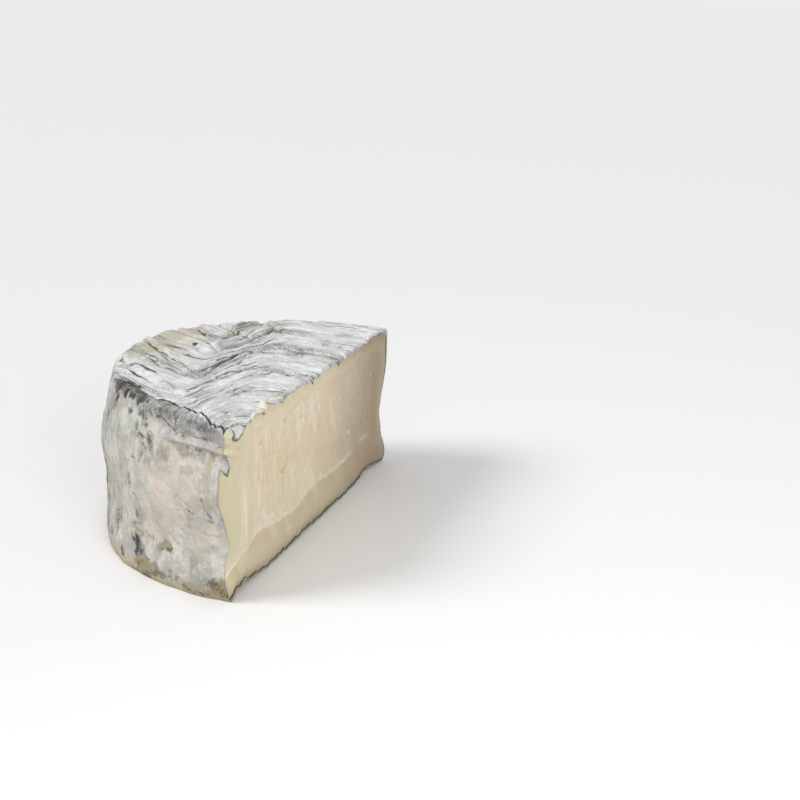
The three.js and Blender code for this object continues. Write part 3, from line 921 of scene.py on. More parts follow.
# %% Where soot, smudges, pits and tan lie on the top
# Each patch: its centre, its two radii, its turn in degrees and its strength.
SOOT_ON_TOP = [
    (-51, 46, 11, 2.8, 60, 1.4), (-57, 37, 6.5, 2.2, 62, 1.3), (-43, 54, 7, 1.8, 50, 0.7),
    (-30, 60.5, 8, 1.4, 27, 0.5), (-40, 48.5, 6.5, 1.3, 76, 1.15), (-33, 48.5, 7.5, 1.1, 61, 0.9),
    (-32, 57, 4, 1.3, 118, 1.1),
]
SMUDGES_ON_TOP = [
    (-15, 66, 6, 1.4, 14, 0.8), (-40.5, 49, 3.5, 1.6, 100, 0.9), (-30.6, 50.8, 4, 1.5, 100, 0.8),
    (-5, 52.4, 4.5, 1.8, 85, 1.0), (-11.8, 42, 5.5, 1.5, -65, 1.15), (19.5, 45.2, 2.4, 1.4, -75, 1.0),
    (17.7, 30, 4, 1.8, -12, 1.0), (21.5, 22.6, 5, 2.0, -30, 0.8), (15.2, 12.6, 7, 4.5, -70, 1.0),
    (43, 34, 7, 3.5, -23, 0.6), (42.5, 50, 6, 3.5, -57, 1.0), (-36.8, 8.8, 5, 1.7, -28, 0.95),
    (-31.7, 28, 3, 1.4, -60, 0.7), (-27.8, 23.7, 3.5, 1.3, -11, 0.65),
]
PITS_ON_TOP = [(20.6, 54.1, 2.2, 1.2, 10, 1.0), (3.6, 48.7, 1.7, 1.0, 20, 1.0)]
TAN_ON_TOP = [
    (14, 62, 22, 9, 0, 0.8), (-8, 60, 8, 9, 60, 0.75), (-20, 62, 9, 5, 20, 0.55),
    (2, 50, 10, 6, 0, 0.5), (36, 44, 12, 5, -20, 0.45), (-24, 44, 14, 4, -50, 0.45),
]
RIM_PLACES = [
    (-56.6, 36.2), (-59.7, 29.3), (-60.6, 23), (-63.2, 19.7), (-63.7, 14), (-65, 8.9), (-67.4, 4),
    (-69.3, -2),
]
# Where the painted shade on the rim's shoulder begins: degrees round the wheel, and distance from the
# axis.
SHOULDER_DEGREES = [147, 154, 159, 163, 168, 173, 177, 182]
SHOULDER_REACH = [67, 66.3, 65, 66, 65.8, 67, 68.4, 69.4]
print("patches on the top:", len(SOOT_ON_TOP + SMUDGES_ON_TOP + PITS_ON_TOP + TAN_ON_TOP))

# %% Masks of the top
wobble_x = x + 0.5 * noise(x / 2.2, y / 2.2, 81)
wobble_y = y + 0.5 * noise(x / 2.2, y / 2.2, 82)
streaks = read_map(sooting, x, y)
from_axis = np.hypot(x, y)
rim_stroke = stroke(wobble_x, wobble_y, RIM_PLACES, 0.65) * smooth(55, 58, z)
rim_stroke = rim_stroke * (0.85 + 0.15 * smooth(-24, -14, -y))
soot_top = patches(x, y, SOOT_ON_TOP, 200, 0.5, bent=0.5) * smooth(-1.9, 0.4, streaks)
smudges = patches(x, y, SMUDGES_ON_TOP, 210, 0.5, bent=0.6) * smooth(-1.8, 0.7, streaks)
pits_top = patches(x, y, PITS_ON_TOP, 220, 0.3, bent=0.4)
furrow_share = furrow_strength(x, y) * smooth(30, 48, y + 0.25 * np.abs(x))
furrow_share = furrow_share * (1 - smooth(70.5, 72.5, from_axis)) * (1 - 0.75 * smooth(22, 30, -x))
furrow_share = furrow_share * (0.7 + 0.3 * smooth(-0.8, 0.2, noise(x / 6, y / 6, 94)))
placed_here = read_map(placed_creases, x, y)
past_rim = smooth(-0.2, 1.0, from_axis - np.interp(theta, SHOULDER_DEGREES, SHOULDER_REACH))
past_rim = past_rim * smooth(146, 151, theta)
# Painted shade: a grey band on the wall's shoulder just under the rim.
shoulder_shade = past_rim * hill(np.clip(62.5 - z, 0, None), 5.2) * (0.66 + 0.6 * cloud(arc / 3.2, z / 2.4, 124))
tan_beside_furrows = 0.55 * hill(from_furrow(x, y) - 1.2, 1.8) * furrow_share
tan_top = np.maximum(patches(x, y, TAN_ON_TOP, 230, 0.5), tan_beside_furrows)
print("soot on the top:", round(float(soot_top[on_top > 0.5].mean()), 3))

# %% Belt and fibres of the wall
from_belt = z - belt_height(np.radians(theta))
belt_line = hill(from_belt - 2.0, 0.6) * smooth(165, 168, theta)
belt_line = belt_line * smooth(-0.5, 0.3, noise(arc / 3.5, 3.5, 104))
belt_shade = hill(from_belt + 1.9, 1.1) * smooth(166, 172, theta)
side_fibres = noise(arc / 1.2 + 0.8 * noise(arc / 5, z / 7, 72), z / 6, 102)
print("points on the belt's line:", int((belt_line > 0.5).sum()))

# %% Where soot lies on the wall
SOOT_ON_WALL = [
    (134, 62, 12, 2.2, 0, 1.1), (145, 63, 8, 2.3, 10, 1.5), (152, 63.2, 7.5, 1.5, 0, 1.5),
    (151.6, 58.9, 3, 2.2, 0, 0.85), (147, 55.5, 2.0, 2.4, 0, 0.7), (155, 55.4, 2.2, 1.6, 0, 0.7),
    (150.5, 54.2, 1.8, 1.8, 0, 0.6), (136, 56, 2.6, 2.6, 0, 0.7), (131, 50, 1.6, 2.6, 0, 0.6),
    (153, 51.4, 2.8, 1.5, 20, 0.75), (153.6, 47.9, 3.4, 1.3, -10, 0.75),
    (155, 44.4, 1.6, 2.4, -30, 0.6), (152.4, 42.3, 4.4, 1.1, 5, 0.7), (157.6, 50, 2.2, 2.6, 0, 0.55),
    (150.4, 35, 1.8, 2.6, 0, 0.5), (151.8, 28.1, 1.6, 2.4, 0, 0.5), (152, 21.4, 2.4, 2.2, 20, 0.6),
    (152.2, 11.6, 2.6, 2.8, 30, 1.0), (154.6, 9.6, 2.4, 2.8, 0, 1.0), (157.4, 8.2, 1.6, 1.2, 0, 0.7),
    (165, 14.7, 3.8, 1.6, 12, 0.6), (137, 8, 4.5, 3.0, 0, 0.55), (141, 16, 1.6, 5, 0, 0.45),
    (182.3, 3.8, 2.0, 0.9, -10, 0.6), (171.3, 62.6, 2.4, 2.6, 0, 0.75), (176.8, 61.4, 3, 1.6, 10, 0.65),
    (160.5, 63, 2.4, 1.2, 0, 0.6), (163.5, 60.6, 1.6, 1.6, 0, 0.5), (96, 40, 3, 2.4, 0, 0.55),
    (78, 52, 4, 3, 20, 0.6), (60, 22, 3.4, 2.6, 0, 0.55), (36, 47, 3.8, 2.6, 30, 0.6),
    (18, 14, 4, 2.4, 0, 0.6), (110, 14, 3.6, 2.6, 0, 0.55), (45, 60, 9, 2.2, 0, 0.8),
    (88, 61, 7, 2.0, 0, 0.7),
]
print("patches of soot on the wall:", len(SOOT_ON_WALL))

# %% Soot on the wall, with painted shade under the belt
placed_soot = patches(arc, z, SOOT_ON_WALL, 240, 0.75, MM_PER_DEGREE)
falling_soot = smooth(0.15, 0.9, hill(64 - z, 5.0) + 0.75 * cloud(arc / 1.6, z / 7, 105) - 0.3)
falling_soot = falling_soot * hill(theta - 138, 20)
near_rim = 0.72 * hill(WHEEL_HEIGHT - 1.5 - z, 3.4) * smooth(150, 160, theta)
soot_and_shade_wall = gathered_max([
    placed_soot * (0.86 + 0.34 * side_fibres * smooth(52, 60, z)),
    0.75 * falling_soot * (0.7 + 0.4 * side_fibres),
    near_rim * smooth(-0.5, 0.6, cloud(arc / 4, z / 3, 123)),
    0.8 * wall_stroke([(166.4, 63.4), (166.1, 59.2)], 0.65),
    # Painted shade under the raised belt.
    0.5 * belt_shade * (0.75 + 0.6 * cloud(arc / 3, z / 2, 125)),
    0.55 * smooth(0.5, 0.8, cloud(arc / 2.4, z / 2.8, 114)),
])
print("soot on the wall:", round(float(soot_and_shade_wall[on_top < 0.5].mean()), 3))

# %% Brown on the wall
BROWN_ON_WALL = [
    (124, 33, 2.0, 6, 0, 0.6), (125.5, 21, 2.4, 8, 0, 0.9), (128, 10, 3.2, 6, 10, 0.9),
    (141, 15, 4, 6, 0, 0.5), (147, 3.6, 6, 2.4, 0, 0.8), (157, 51.4, 2, 2.6, 20, 0.65),
    (159, 48, 1.8, 1.6, 0, 0.5), (170.3, 56.9, 1.8, 0.7, 0, 0.9), (176.6, 56.6, 1.8, 0.7, -10, 0.9),
    (156, 0.8, 8, 1.8, 0, 0.85), (154.6, 4, 3, 2, 0, 0.55), (166, 4.6, 7, 3.0, 8, 0.48),
    (174, 2.6, 6, 1.6, 0, 0.55), (180.4, 5.4, 2.6, 2.8, 30, 0.55), (183.6, 3.4, 2.6, 1.6, 10, 0.7),
    (176, 1.2, 5, 1.2, 0, 0.6), (157.6, 16, 3, 1.6, 0, 0.4), (151.4, 17, 2.4, 2, 0, 0.5),
    (120, 1, 12, 1.8, 0, 0.7), (80, 1, 14, 1.6, 0, 0.6), (40, 1.4, 14, 1.8, 0, 0.65),
    (8, 1.5, 9, 2, 0, 0.6),
]
brown_wall = gathered_max([
    patches(arc, z, BROWN_ON_WALL, 280, 0.8, MM_PER_DEGREE),
    0.8 * wall_stroke([(155.5, 60.5), (157.6, 58.8), (160.4, 60.4), (163.4, 58.1), (167, 56.6)], 0.5),
    0.6 * wall_stroke([(177.2, 37.6), (178.3, 33.8), (179.9, 30.6)], 0.55),
    0.52 * wall_stroke([(168.9, 31.1), (173.2, 32.2), (175.4, 30.7), (182.4, 29.1)], 0.5),
])
print("brown on the wall:", round(float(brown_wall[on_top < 0.5].mean()), 3))

# %% Grey, olive, tan and pink on the wall, with painted shade under the belt
# The patch at 172 degrees and 51.8 mm is painted shade under the belt's ridge; the others are grey patches
# of the rind.
GREY_AND_SHADE_ON_WALL = [
    (173.5, 60.4, 5, 2.2, 0, 0.8), (178, 59.8, 3.2, 2.4, 0, 0.7), (169.6, 61, 4, 1.8, 0, 0.7),
    (172, 51.8, 8, 1.8, -6, 0.5), (152.5, 24, 4, 9, 10, 0.3), (140, 18, 6, 9, 0, 0.3),
    (181, 20, 3, 3, 0, 0.3), (160, 62, 5, 1.8, 0, 0.6), (70, 34, 10, 7, 0, 0.3), (30, 30, 9, 8, 0, 0.3),
]
grey_and_shade_wall = np.maximum(
    patches(arc, z, GREY_AND_SHADE_ON_WALL, 300, 0.5, MM_PER_DEGREE),
    0.5 * hill(theta - 128, 20) * (0.5 + 0.5 * side_fibres),
)
# The patch at 171 degrees and 51.5 mm is painted shade under the belt's ridge; the others are olive
# stains.
OLIVE_AND_SHADE_ON_WALL = [
    (157.8, 49.6, 2.8, 4.4, 0, 0.85), (163, 50.2, 4.4, 3, 0, 0.6), (154, 16.4, 5, 2.2, 0, 0.8),
    (164.4, 15, 5, 2.2, 10, 1.0), (159, 4.6, 7.4, 3.2, 5, 1.1), (155, 20, 3.4, 5, 0, 0.5),
    (171, 51.5, 8, 1.8, -5, 0.55), (173, 47, 5, 1.6, 0, 0.4), (183, 6.6, 3.2, 4.4, -8, 0.7),
    (100, 22, 7, 4, 0, 0.5), (52, 40, 8, 5, 10, 0.5), (24, 54, 7, 4, 0, 0.4),
]
olive_and_shade_wall = patches(arc, z, OLIVE_AND_SHADE_ON_WALL, 320, 0.5, MM_PER_DEGREE)
foot_stain = 1 - smooth(1.0, 6.5, z + 2.6 * cloud(arc / 4, z / 3, 119))
TAN_ON_WALL = [
    (182.6, 4.4, 5.5, 4.2, 0, 1.0), (174, 3, 8, 2.6, 0, 0.7), (155, 4.5, 9, 3.4, 0, 0.8),
    (178.6, 47, 1.6, 5.5, 5, 0.55),
]
tan_wall = gathered_max([0.85 * foot_stain, patches(arc, z, TAN_ON_WALL, 340, 0.45, MM_PER_DEGREE)])
pink_place = 1.1 * hill(theta - 170, 13) * hill(z - 36, 17)
pink_wall = smooth(-0.3, 0.7, cloud(arc / 14, z / 11, 122) + pink_place - 0.25)
print("olive on the wall:", round(float(olive_and_shade_wall[on_top < 0.5].mean()), 3))

# %% Dark edge of the border, and painted shade in the valleys of the folds and in the creases between the puffs
near_flaps = (1 - smooth(-61, -57, x)) * smooth(8, 12, z)
foot_border = 1 - smooth(3.5, 6, z)
border_ink = gathered_max([
    0.85 * near_flaps,
    0.85 * foot_border,
    0.6 * smooth(60, 66, x) * smooth(-0.4, 0.3, noise(z / 3, 0.5, 350)),
    0.45 * smooth(-0.1, 0.5, noise(x / 2.3, 0.5, 351)),
])
on_wall = 1 - on_top
lines = gathered_max([0.9 * rim_stroke, 0.8 * placed_here * on_top, 0.62 * belt_line * on_wall])
# Painted shade: darker in the valleys between the main folds, more so towards the back.
valley_shade = read_map((1 - main_wave) ** 2 * smooth(-1.2, 0.8, vigour), x, y)
valley_shade = valley_shade * (1.05 + 0.35 * smooth(20, 45, y))
# Painted shade in the thin creases between the wall's puffs.
skin_angle = np.arctan2((y + CUT_OFFSET) / (WHEEL_RADIUS + CUT_OFFSET), x / WHEEL_RADIUS)
wall_crease_shade = 1 - smooth(0, 0.14, puffs(skin_angle * WHEEL_RADIUS, z))
wall_crease_shade = wall_crease_shade * smooth(1.5, 6, z) * smooth(-0.4, 0.5, noise(arc / 7, z / 6, 126))
# Painted shade on the sunken side of each pleat.
pleat_valley_shade = read_map((1 - pleat_back) * pleat_strength, x, y)
print("points in the wall's creases:", int((on_wall * wall_crease_shade > 0.5).sum()))

# %% The rind's masks and numbers stored
rind_masks = {
    "top": on_top,
    # Soot and ash, and on the wall also the painted shade under the belt.
    "ash": on_top * np.maximum(soot_top, pits_top) + on_wall * soot_and_shade_wall,
    "ink": smooth(0.6, 0.9, on_lip) * border_ink,
    "lines": lines,
    # Painted shade on the sunken side of the pleats.
    "pleat_valley_shade": on_top * pleat_valley_shade,
    "smudge": on_top * smudges,
    # Grey mould, and painted shade on the rim's shoulder and under the belt.
    "grey": np.maximum(on_wall * grey_and_shade_wall, shoulder_shade),
    "brown": on_wall * brown_wall,
    "tan": on_top * tan_top + on_wall * tan_wall,
    "olive": on_wall * olive_and_shade_wall,
    "pink": on_wall * pink_wall,
    # Painted shade: the valleys of the main folds on the top, and the creases between the puffs on the
    # wall.
    "valley_shade": on_top * valley_shade + on_wall * wall_crease_shade,
    "crease": on_top * read_map(crease_share, x, y) * (1 - smooth(70, 72.5, from_axis)),
    "furrow_share": on_top * furrow_share,
}
for name, mask in rind_masks.items():
    write_values(rind, name, np.clip(mask, 0, 1))
write_values(rind, "pleat", read_map(pleat_number, x, y))
write_values(rind, "pleats_per_mm", read_map(1 / pleat_width, x, y))
write_values(rind, "furrow", furrow_number(x, y) + 0.03 * noise(x / 2.5, y / 2.5, 84))
print("rind masks stored:", len(rind.data.attributes), "attributes")

# %% [markdown]
# ## The paste
#
# The paste fills the rind and shows at the cut. Its face is a fine grid blended from the four sides
# of its outline, half-way under the rind's border, and raised by the relief. The eyes are pressed
# into the grid as small bowls. Behind the face the paste goes on as a coarse drum inside the rind.

# %% The eyes
# Each eye: its place, its width and height, and its turn in radians.
EYES = [
    (-29.4, 33.2, 5.8, 2.6, 0.15), (-27.1, 35.2, 2.7, 6.4, -0.25), (-49.9, 51.5, 1.8, 2.6, 0.3),
    (-31, 52.8, 1.6, 1.8, 0), (8.2, 30.4, 1.9, 2.4, 0.3), (1, 40.8, 8.5, 0.9, 0.12),
    (34, 40, 3.4, 2.2, -0.5), (46, 27, 2.4, 1.9, 0.3), (55, 45, 3.6, 2.2, 0.2),
]


def eye_shares(x, z):
    """For each point, how far it lies inside an eye, from 0 at its brim to 1 in its middle, and the
    depth there. The brims are ovals with a little noise."""
    inside, depth = np.zeros(np.shape(x)), np.zeros(np.shape(x))
    for k, (eye_x, eye_z, wide, tall, turn) in enumerate(EYES):
        c, s = math.cos(turn), math.sin(turn)
        dx, dz = x - eye_x, z - eye_z
        along, across = dx * c - dz * s, dx * s + dz * c
        r = np.hypot(2 * along / wide, 2 * across / tall) + 0.22 * noise(x / 1.1, z / 1.1, 130 + k)
        here = 1 - smooth(0.45, 1.1, r)
        inside = np.maximum(inside, here)
        depth = np.maximum(depth, here * 0.5 * min(wide, tall))
    return inside, depth


slit_depth = eye_shares(np.array([1.0]), np.array([40.8]))[1]
print("depth of the long thin eye:", np.round(slit_depth, 2), "mm")

# %% The face's grid
PASTE_ACROSS, PASTE_ROWS, PASTE_DEEP = 384, 144, 144


def grid_between(high, far, low, near, across):
    """Points of a grid between four sides: the blend of foot and top, plus the blend of both ends,
    less the blend of the four corners, which both of them hold."""
    s = across[None, :, None]
    t = np.linspace(0, 1, len(near))[:, None, None]
    points = low[None] * (1 - t) + high[None] * t + near[:, None] * (1 - s) + far[:, None] * s
    low_corners = (1 - s) * low[0] + s * low[-1]
    high_corners = (1 - s) * high[0] + s * high[-1]
    return points - ((1 - t) * low_corners + t * high_corners)


paste_outline = cut_outline(PASTE_ACROSS, PASTE_ROWS)
half_way = 0.5 * lip_widths(paste_outline)[:, None]
ring = paste_outline + inward_directions(paste_outline) * half_way
sides = sides_of(ring, PASTE_ACROSS, PASTE_ROWS)
face_grid = grid_between(*sides, 0.5 + 0.5 * spread(PASTE_ACROSS))
face_x, face_z = face_grid[..., 0], face_grid[..., 2]
eye_inside, eye_depth = eye_shares(face_x, face_z)
face_out = face_relief(face_x, face_z) - eye_depth
face_points = np.stack([face_x, face_y(face_x, face_z) - face_out, face_z], -1)
print("face grid:", face_points.shape, "eyes cover", int((eye_inside > 0.5).sum()), "points")

# %% The paste's mesh
paste_mesh = Collector()
face = paste_mesh.add(face_points)
paste_mesh.grid(face)
face_loop = np.concatenate([face[-1, :], face[-2::-1, -1], face[0, -2::-1], face[1:-1, 0]])
back_loop = drum(paste_mesh, PASTE_ACROSS // 4, PASTE_DEEP // 4, PASTE_ROWS // 4,
                 thickness=RIND_THICKNESS + 0.3, drop=RIND_THICKNESS + 1.3, behind=2.0, inside_out=False)
paste_mesh.zipper(face_loop, back_loop)
paste = paste_mesh.make("paste")

# %% [markdown]
# ## Colour masks on the paste
#
# The paste is cream, a little deeper in the soft band and at the foot. The eyes and a line under the
# rind have sweated and are amber. Small white crumbs lie along the knife's way. Painted shade darkens
# the face along its lower edge and towards its far end, and painted highlights lie along the step and
# up the near end. All of these are again one number for each point.

# %% Amber, crumbs and painted highlights
# Each crumb: its place on the face, and its size.
CRUMBS = [
    (0.4, 47.7, 1.5), (-59.9, 54.2, 0.9), (-20.4, 53.9, 1.0), (19.6, 44.6, 1.3), (-39.2, 19.6, 1.3),
    (3.5, 19.1, 1.2), (-34.9, 43.7, 1.0), (-25.1, 9, 1.4), (-15.4, 48, 1.1), (-12, 27, 1.6), (33, 27, 1.5),
]
paste_points = np.concatenate(paste_mesh.points)
px, pz = paste_points[:, 0], paste_points[:, 2]
near, _, high, low = from_edges(px, pz)
band = band_share(px, pz)
over_step = above_step(px, pz)
amber_line = hill(high - 7.2 - 0.5 * noise(px / 9, 0.5, 141), 1.3) * smooth(-12, 12, px)
amber_line = amber_line * smooth(-0.6, 0.5, noise(px / 6, 2.5, 145))
amber_stains = gathered_max([
    0.6 * hill(np.hypot(px + 74.5, 0.6 * (pz - 43.6)), 1.1),
    0.35 * hill(np.hypot(px + 40.8, pz - 23.8), 1.4),
])
placed_crumbs = gathered_max(
    hill(np.hypot(px - cx, pz - cz) + 0.7 * noise(px / 1.3, pz / 1.3, 144 + k), 0.9 * size)
    for k, (cx, cz, size) in enumerate(CRUMBS)
)
loose_crumbs = smooth(0.5, 0.8, cloud(px / 2.2, pz / 2.8, 142)) * (1 - band)
# Painted highlight: a pale upright stripe up the near end of the face.
near_end_highlight = patch(px, pz, (-62.5, 30), (3.6, 13), -8, 160, 0.3)
near_end_highlight = near_end_highlight * (0.6 + 0.4 * noise(px / 1.5, pz / 12, 161))
# Painted highlight: a pale line along the top of the step.
step_highlight = hill(over_step - 0.9, 0.8) * smooth(-0.7, 0.3, noise(px / 8, 1.5, 162))
print("points in crumbs:", int((placed_crumbs > 0.5).sum()))

# %% The paste's masks stored
paste_masks = {
    "band": band,
    "foot": foot_share(px, pz) * (0.55 + 0.45 * hill(over_step, 5)),
    # Painted shade: darker along the lower edge, where the face turns down.
    "low_edge": hill(np.clip(low, 0, None), 5.5),
    "near_edge": hill(np.clip(near, 0, None), 7) * smooth(10, 22, pz),
    "amber": eye_shares(px, pz)[0] + 0.28 * amber_line + amber_stains,
    "crumb": np.maximum(placed_crumbs, 0.6 * loose_crumbs),
    # Painted highlights: up the near end and along the step.
    "pale": 0.8 * near_end_highlight + 0.6 * step_highlight,
    # Painted shade: darker towards the far end of the cut.
    "far_end": smooth(-20, 62, px) ** 1.5,
}
for name, mask in paste_masks.items():
    write_values(paste, name, np.clip(mask, 0, 1))
write_values(paste, "strokes", 0.5 + 0.8 * cloud(px / 4.2 + 0.12 * pz, pz / 22, 143))
print("paste masks stored:", len(paste.data.attributes), "attributes")

# %% [markdown]
# ## Curls of paste over the edge
#
# As the knife came out it smeared a little paste over the near part of the top edge, where it has
# dried into a chain of small cream curls. It is one bead with a changing radius: rings of points
# along a path, each ring a circle whose radius swells and shrinks, closed by a point at each end.

# %% Radius of the curls
# Each curl: its place along the cut, its half width and its radius.
CURLS = [
    (-57, 3.0, 0.5), (-51.4, 2.3, 1.0), (-46.2, 2.7, 1.5), (-41.8, 1.4, 0.6), (-38.4, 1.6, 0.75),
    (-33.5, 2.0, 0.7),
]
CURLS_START, CURLS_END, CURLS_TAPER = -62.5, -27.5, 2.5


def curl_radius(x):
    """A thin thread that swells at each curl and comes to nothing at both ends."""
    thread = 0.16 + 0.1 * noise(x / 1.1, 0.5, 170)
    lumps = gathered_max(size * hill(x - place, wide) for place, wide, size in CURLS)
    rough = 1 + 0.3 * noise(x / 0.8, 2.5, 171)
    start = smooth(CURLS_START, CURLS_START + CURLS_TAPER, x)
    return (thread + lumps * rough) * start * (1 - smooth(CURLS_END - CURLS_TAPER, CURLS_END, x)) + 0.02


print("thickest curl:", round(float(curl_radius(np.array([-46.2]))[0]), 2), "mm in radius")

# %% The curls' mesh
CURL_RINGS, CURL_AROUND = 300, 20
curl_x = np.linspace(CURLS_START, CURLS_END, CURL_RINGS)
curl_y = np.interp(curl_x, top_edge[:, 0], top_edge[:, 1])
curl_z = np.interp(curl_x, top_edge[:, 0], top_edge[:, 2])
curl_size = curl_radius(curl_x)
around = np.linspace(0, 2 * np.pi, CURL_AROUND, endpoint=False)
crumpled = 1 + 0.2 * noise(curl_x[:, None] / 1.3, 1.2 * np.cos(around)[None] + 3, 172)
ring_radius = curl_size[:, None] * crumpled
curl_points = np.stack([
    curl_x[:, None] + 0.25 * ring_radius * np.cos(around),
    (curl_y - 0.15 - 0.2 * curl_size)[:, None] - 0.8 * ring_radius * np.cos(around),
    (curl_z + 0.15 - 0.1 * curl_size)[:, None] + 0.8 * ring_radius * np.sin(around),
], -1)
curls_mesh = Collector()
curl_rings = curls_mesh.add(curl_points)
curls_mesh.grid(np.concatenate([curl_rings, curl_rings[:, :1]], 1), flip=True)
for row, flip in ((0, False), (-1, True)):
    pole = curls_mesh.add(curl_points[row].mean(0)[None])[0]
    here, after = curl_rings[row], np.roll(curl_rings[row], -1)
    fan = [after, here] if flip else [here, after]
    curls_mesh.triangles.append(np.stack(fan + [np.full(CURL_AROUND, pole)], -1))
curls = curls_mesh.make("smeared_curls")

# %% [markdown]
# ## Materials
#
# All three materials are Principled shaders, and each is built like paint: a base colour, with other
# colours laid over it one after another, each by a share. A shared node group turns Object
# coordinates into a fine grain, so that the masks' soft edges break up at a scale below the mesh.
# Colours are given as the usual 0 to 255 numbers and turned into the linear values that the shader
# works in.

# %% Colours, and nodes for numbers
def linear(value):
    """One display value from 0 to 255, made linear by the usual two-part curve."""
    share = value / 255
    return share / 12.92 if share <= 0.04045 else ((share + 0.055) / 1.055) ** 2.4


def paint(red, green, blue):
    """A colour from 0 to 255 display values, made linear."""
    return (linear(red), linear(green), linear(blue), 1.0)


def feed(tree, socket, value):
    """Sets a socket, or links it when the value comes from another node."""
    if isinstance(value, bpy.types.NodeSocket):
        tree.links.new(value, socket)
    else:
        socket.default_value = value


def math_node(tree, operation, first, second=0.0, clamp=False):
    """One Math node and its result."""
    made = tree.nodes.new("ShaderNodeMath")
    made.operation = operation
    made.use_clamp = clamp
    feed(tree, made.inputs[0], first)
    feed(tree, made.inputs[1], second)
    return made.outputs[0]


def times(tree, *values):
    """The product of several values."""
    product = values[0]
    for value in values[1:]:
        product = math_node(tree, "MULTIPLY", product, value)
    return product


def summed(tree, *terms):
    """The sum of several values, each times its weight."""
    total = times(tree, *terms[0])
    for term in terms[1:]:
        total = math_node(tree, "ADD", total, times(tree, *term))
    return total


print("ash black, linear:", [round(c, 3) for c in paint(60, 60, 59)[:3]])

# %% Nodes for colours, and for values of the mesh
def mixed(tree, share, first, second):
    """Two colours, or two values, blended by a share."""
    made = tree.nodes.new("ShaderNodeMix")
    made.data_type = "RGBA"
    feed(tree, made.inputs[0], share)
    feed(tree, made.inputs[6], first)
    feed(tree, made.inputs[7], second)
    return made.outputs[2]


def ranged(tree, value, low, high, to_low=0.0, to_high=1.0):
    """A value carried smoothly from one range to another."""
    made = tree.nodes.new("ShaderNodeMapRange")
    made.interpolation_type = "SMOOTHSTEP"
    for socket, number in zip(made.inputs, (value, low, high, to_low, to_high)):
        feed(tree, socket, number)
    return made.outputs[0]


def graded(tree, value, low, high, first, second):
    """One colour where a value is low, another where it is high, and a soft change between them."""
    return mixed(tree, ranged(tree, value, low, high), first, second)


def layered(tree, base, *layers):
    """Colours laid over a base one after another, each given as its share and itself."""
    for share, colour in layers:
        base = mixed(tree, share, base, colour)
    return base


def stored(tree, name):
    """A number that the mesh stores for each point."""
    made = tree.nodes.new("ShaderNodeAttribute")
    made.attribute_name = name
    return made.outputs["Fac"]


print("colours are blended, graded and layered")

# %% The start and the end of a material
def started(name):
    """A new material with nodes, and its node tree."""
    material = bpy.data.materials.new(name)
    material.use_nodes = True
    return material, material.node_tree


def finish_material(piece, material, colour, height, bump_values, shader_values):
    """Feeds the colour to the shader, and the height through a Bump node to its normal, sets their
    plain values and gives the material to the piece."""
    tree = material.node_tree
    shader, bump = tree.nodes["Principled BSDF"], tree.nodes.new("ShaderNodeBump")
    for node, values in ((bump, bump_values), (shader, shader_values)):
        for name, value in values.items():
            node.inputs[name].default_value = value
    tree.links.new(colour, shader.inputs["Base Color"])
    tree.links.new(height, bump.inputs["Height"])
    tree.links.new(bump.outputs[0], shader.inputs["Normal"])
    piece.data.materials.append(material)
    print(material.name, "has", len(tree.nodes), "nodes")


print("materials so far:", len(bpy.data.materials))

# %% Node group: fine grain
# Its noises, each with a scale against the coarse one and a number of octaves.
GRAIN_LAYERS = [("Coarse", 1.0, 4.0), ("Fine", 4.3, 3.0)]
grain = bpy.data.node_groups.new("fine_grain", "ShaderNodeTree")
grain.interface.new_socket("Cells per Metre", in_out="INPUT", socket_type="NodeSocketFloat")
grain.interface.new_socket("Upright Stretch", in_out="INPUT", socket_type="NodeSocketFloat")
grain.interface.new_socket("Coarse", in_out="OUTPUT", socket_type="NodeSocketFloat")
grain.interface.new_socket("Fine", in_out="OUTPUT", socket_type="NodeSocketFloat")
group_in, group_out = grain.nodes.new("NodeGroupInput"), grain.nodes.new("NodeGroupOutput")
coordinates = grain.nodes.new("ShaderNodeTexCoord")
stretch = grain.nodes.new("ShaderNodeCombineXYZ")
stretch.inputs[0].default_value = 1.0
stretch.inputs[1].default_value = 1.0
feed(grain, stretch.inputs[2], math_node(grain, "DIVIDE", 1.0, group_in.outputs[1]))
mapping = grain.nodes.new("ShaderNodeMapping")
grain.links.new(coordinates.outputs["Object"], mapping.inputs["Vector"])
grain.links.new(stretch.outputs[0], mapping.inputs["Scale"])
for name, factor, detail in GRAIN_LAYERS:
    texture = grain.nodes.new("ShaderNodeTexNoise")
    grain.links.new(mapping.outputs[0], texture.inputs["Vector"])
    feed(grain, texture.inputs["Scale"], math_node(grain, "MULTIPLY", group_in.outputs[0], factor))
    texture.inputs["Detail"].default_value = detail
    texture.inputs["Roughness"].default_value = 0.6
    grain.links.new(texture.outputs[0], group_out.inputs[name])


def place_grain(tree, cells, upright):
    """Puts the grain group into a material and returns its coarse and fine values."""
    made = tree.nodes.new("ShaderNodeGroup")
    made.node_tree = grain
    made.inputs[0].default_value = cells
    made.inputs[1].default_value = upright
    return made.outputs[0], made.outputs[1]


print("group", grain.name, "has", len(grain.nodes), "nodes")

# %% [markdown]
# ## The rind's material
#
# Old ash rind is matt and fibrous. On the top everything runs along the folds, so the noise there is
# drawn out: its first coordinate is the stored pleat number, not a place. Thin dark creases are the
# places where that number is whole. On the wall the grain has no such direction.

# %% Streaks along the folds
rind_material, tree = started("ash_rind")
coordinates = tree.nodes.new("ShaderNodeTexCoord")
place = tree.nodes.new("ShaderNodeSeparateXYZ")
tree.links.new(coordinates.outputs["Object"], place.inputs[0])
pleat, pleats_per_mm = stored(tree, "pleat"), stored(tree, "pleats_per_mm")


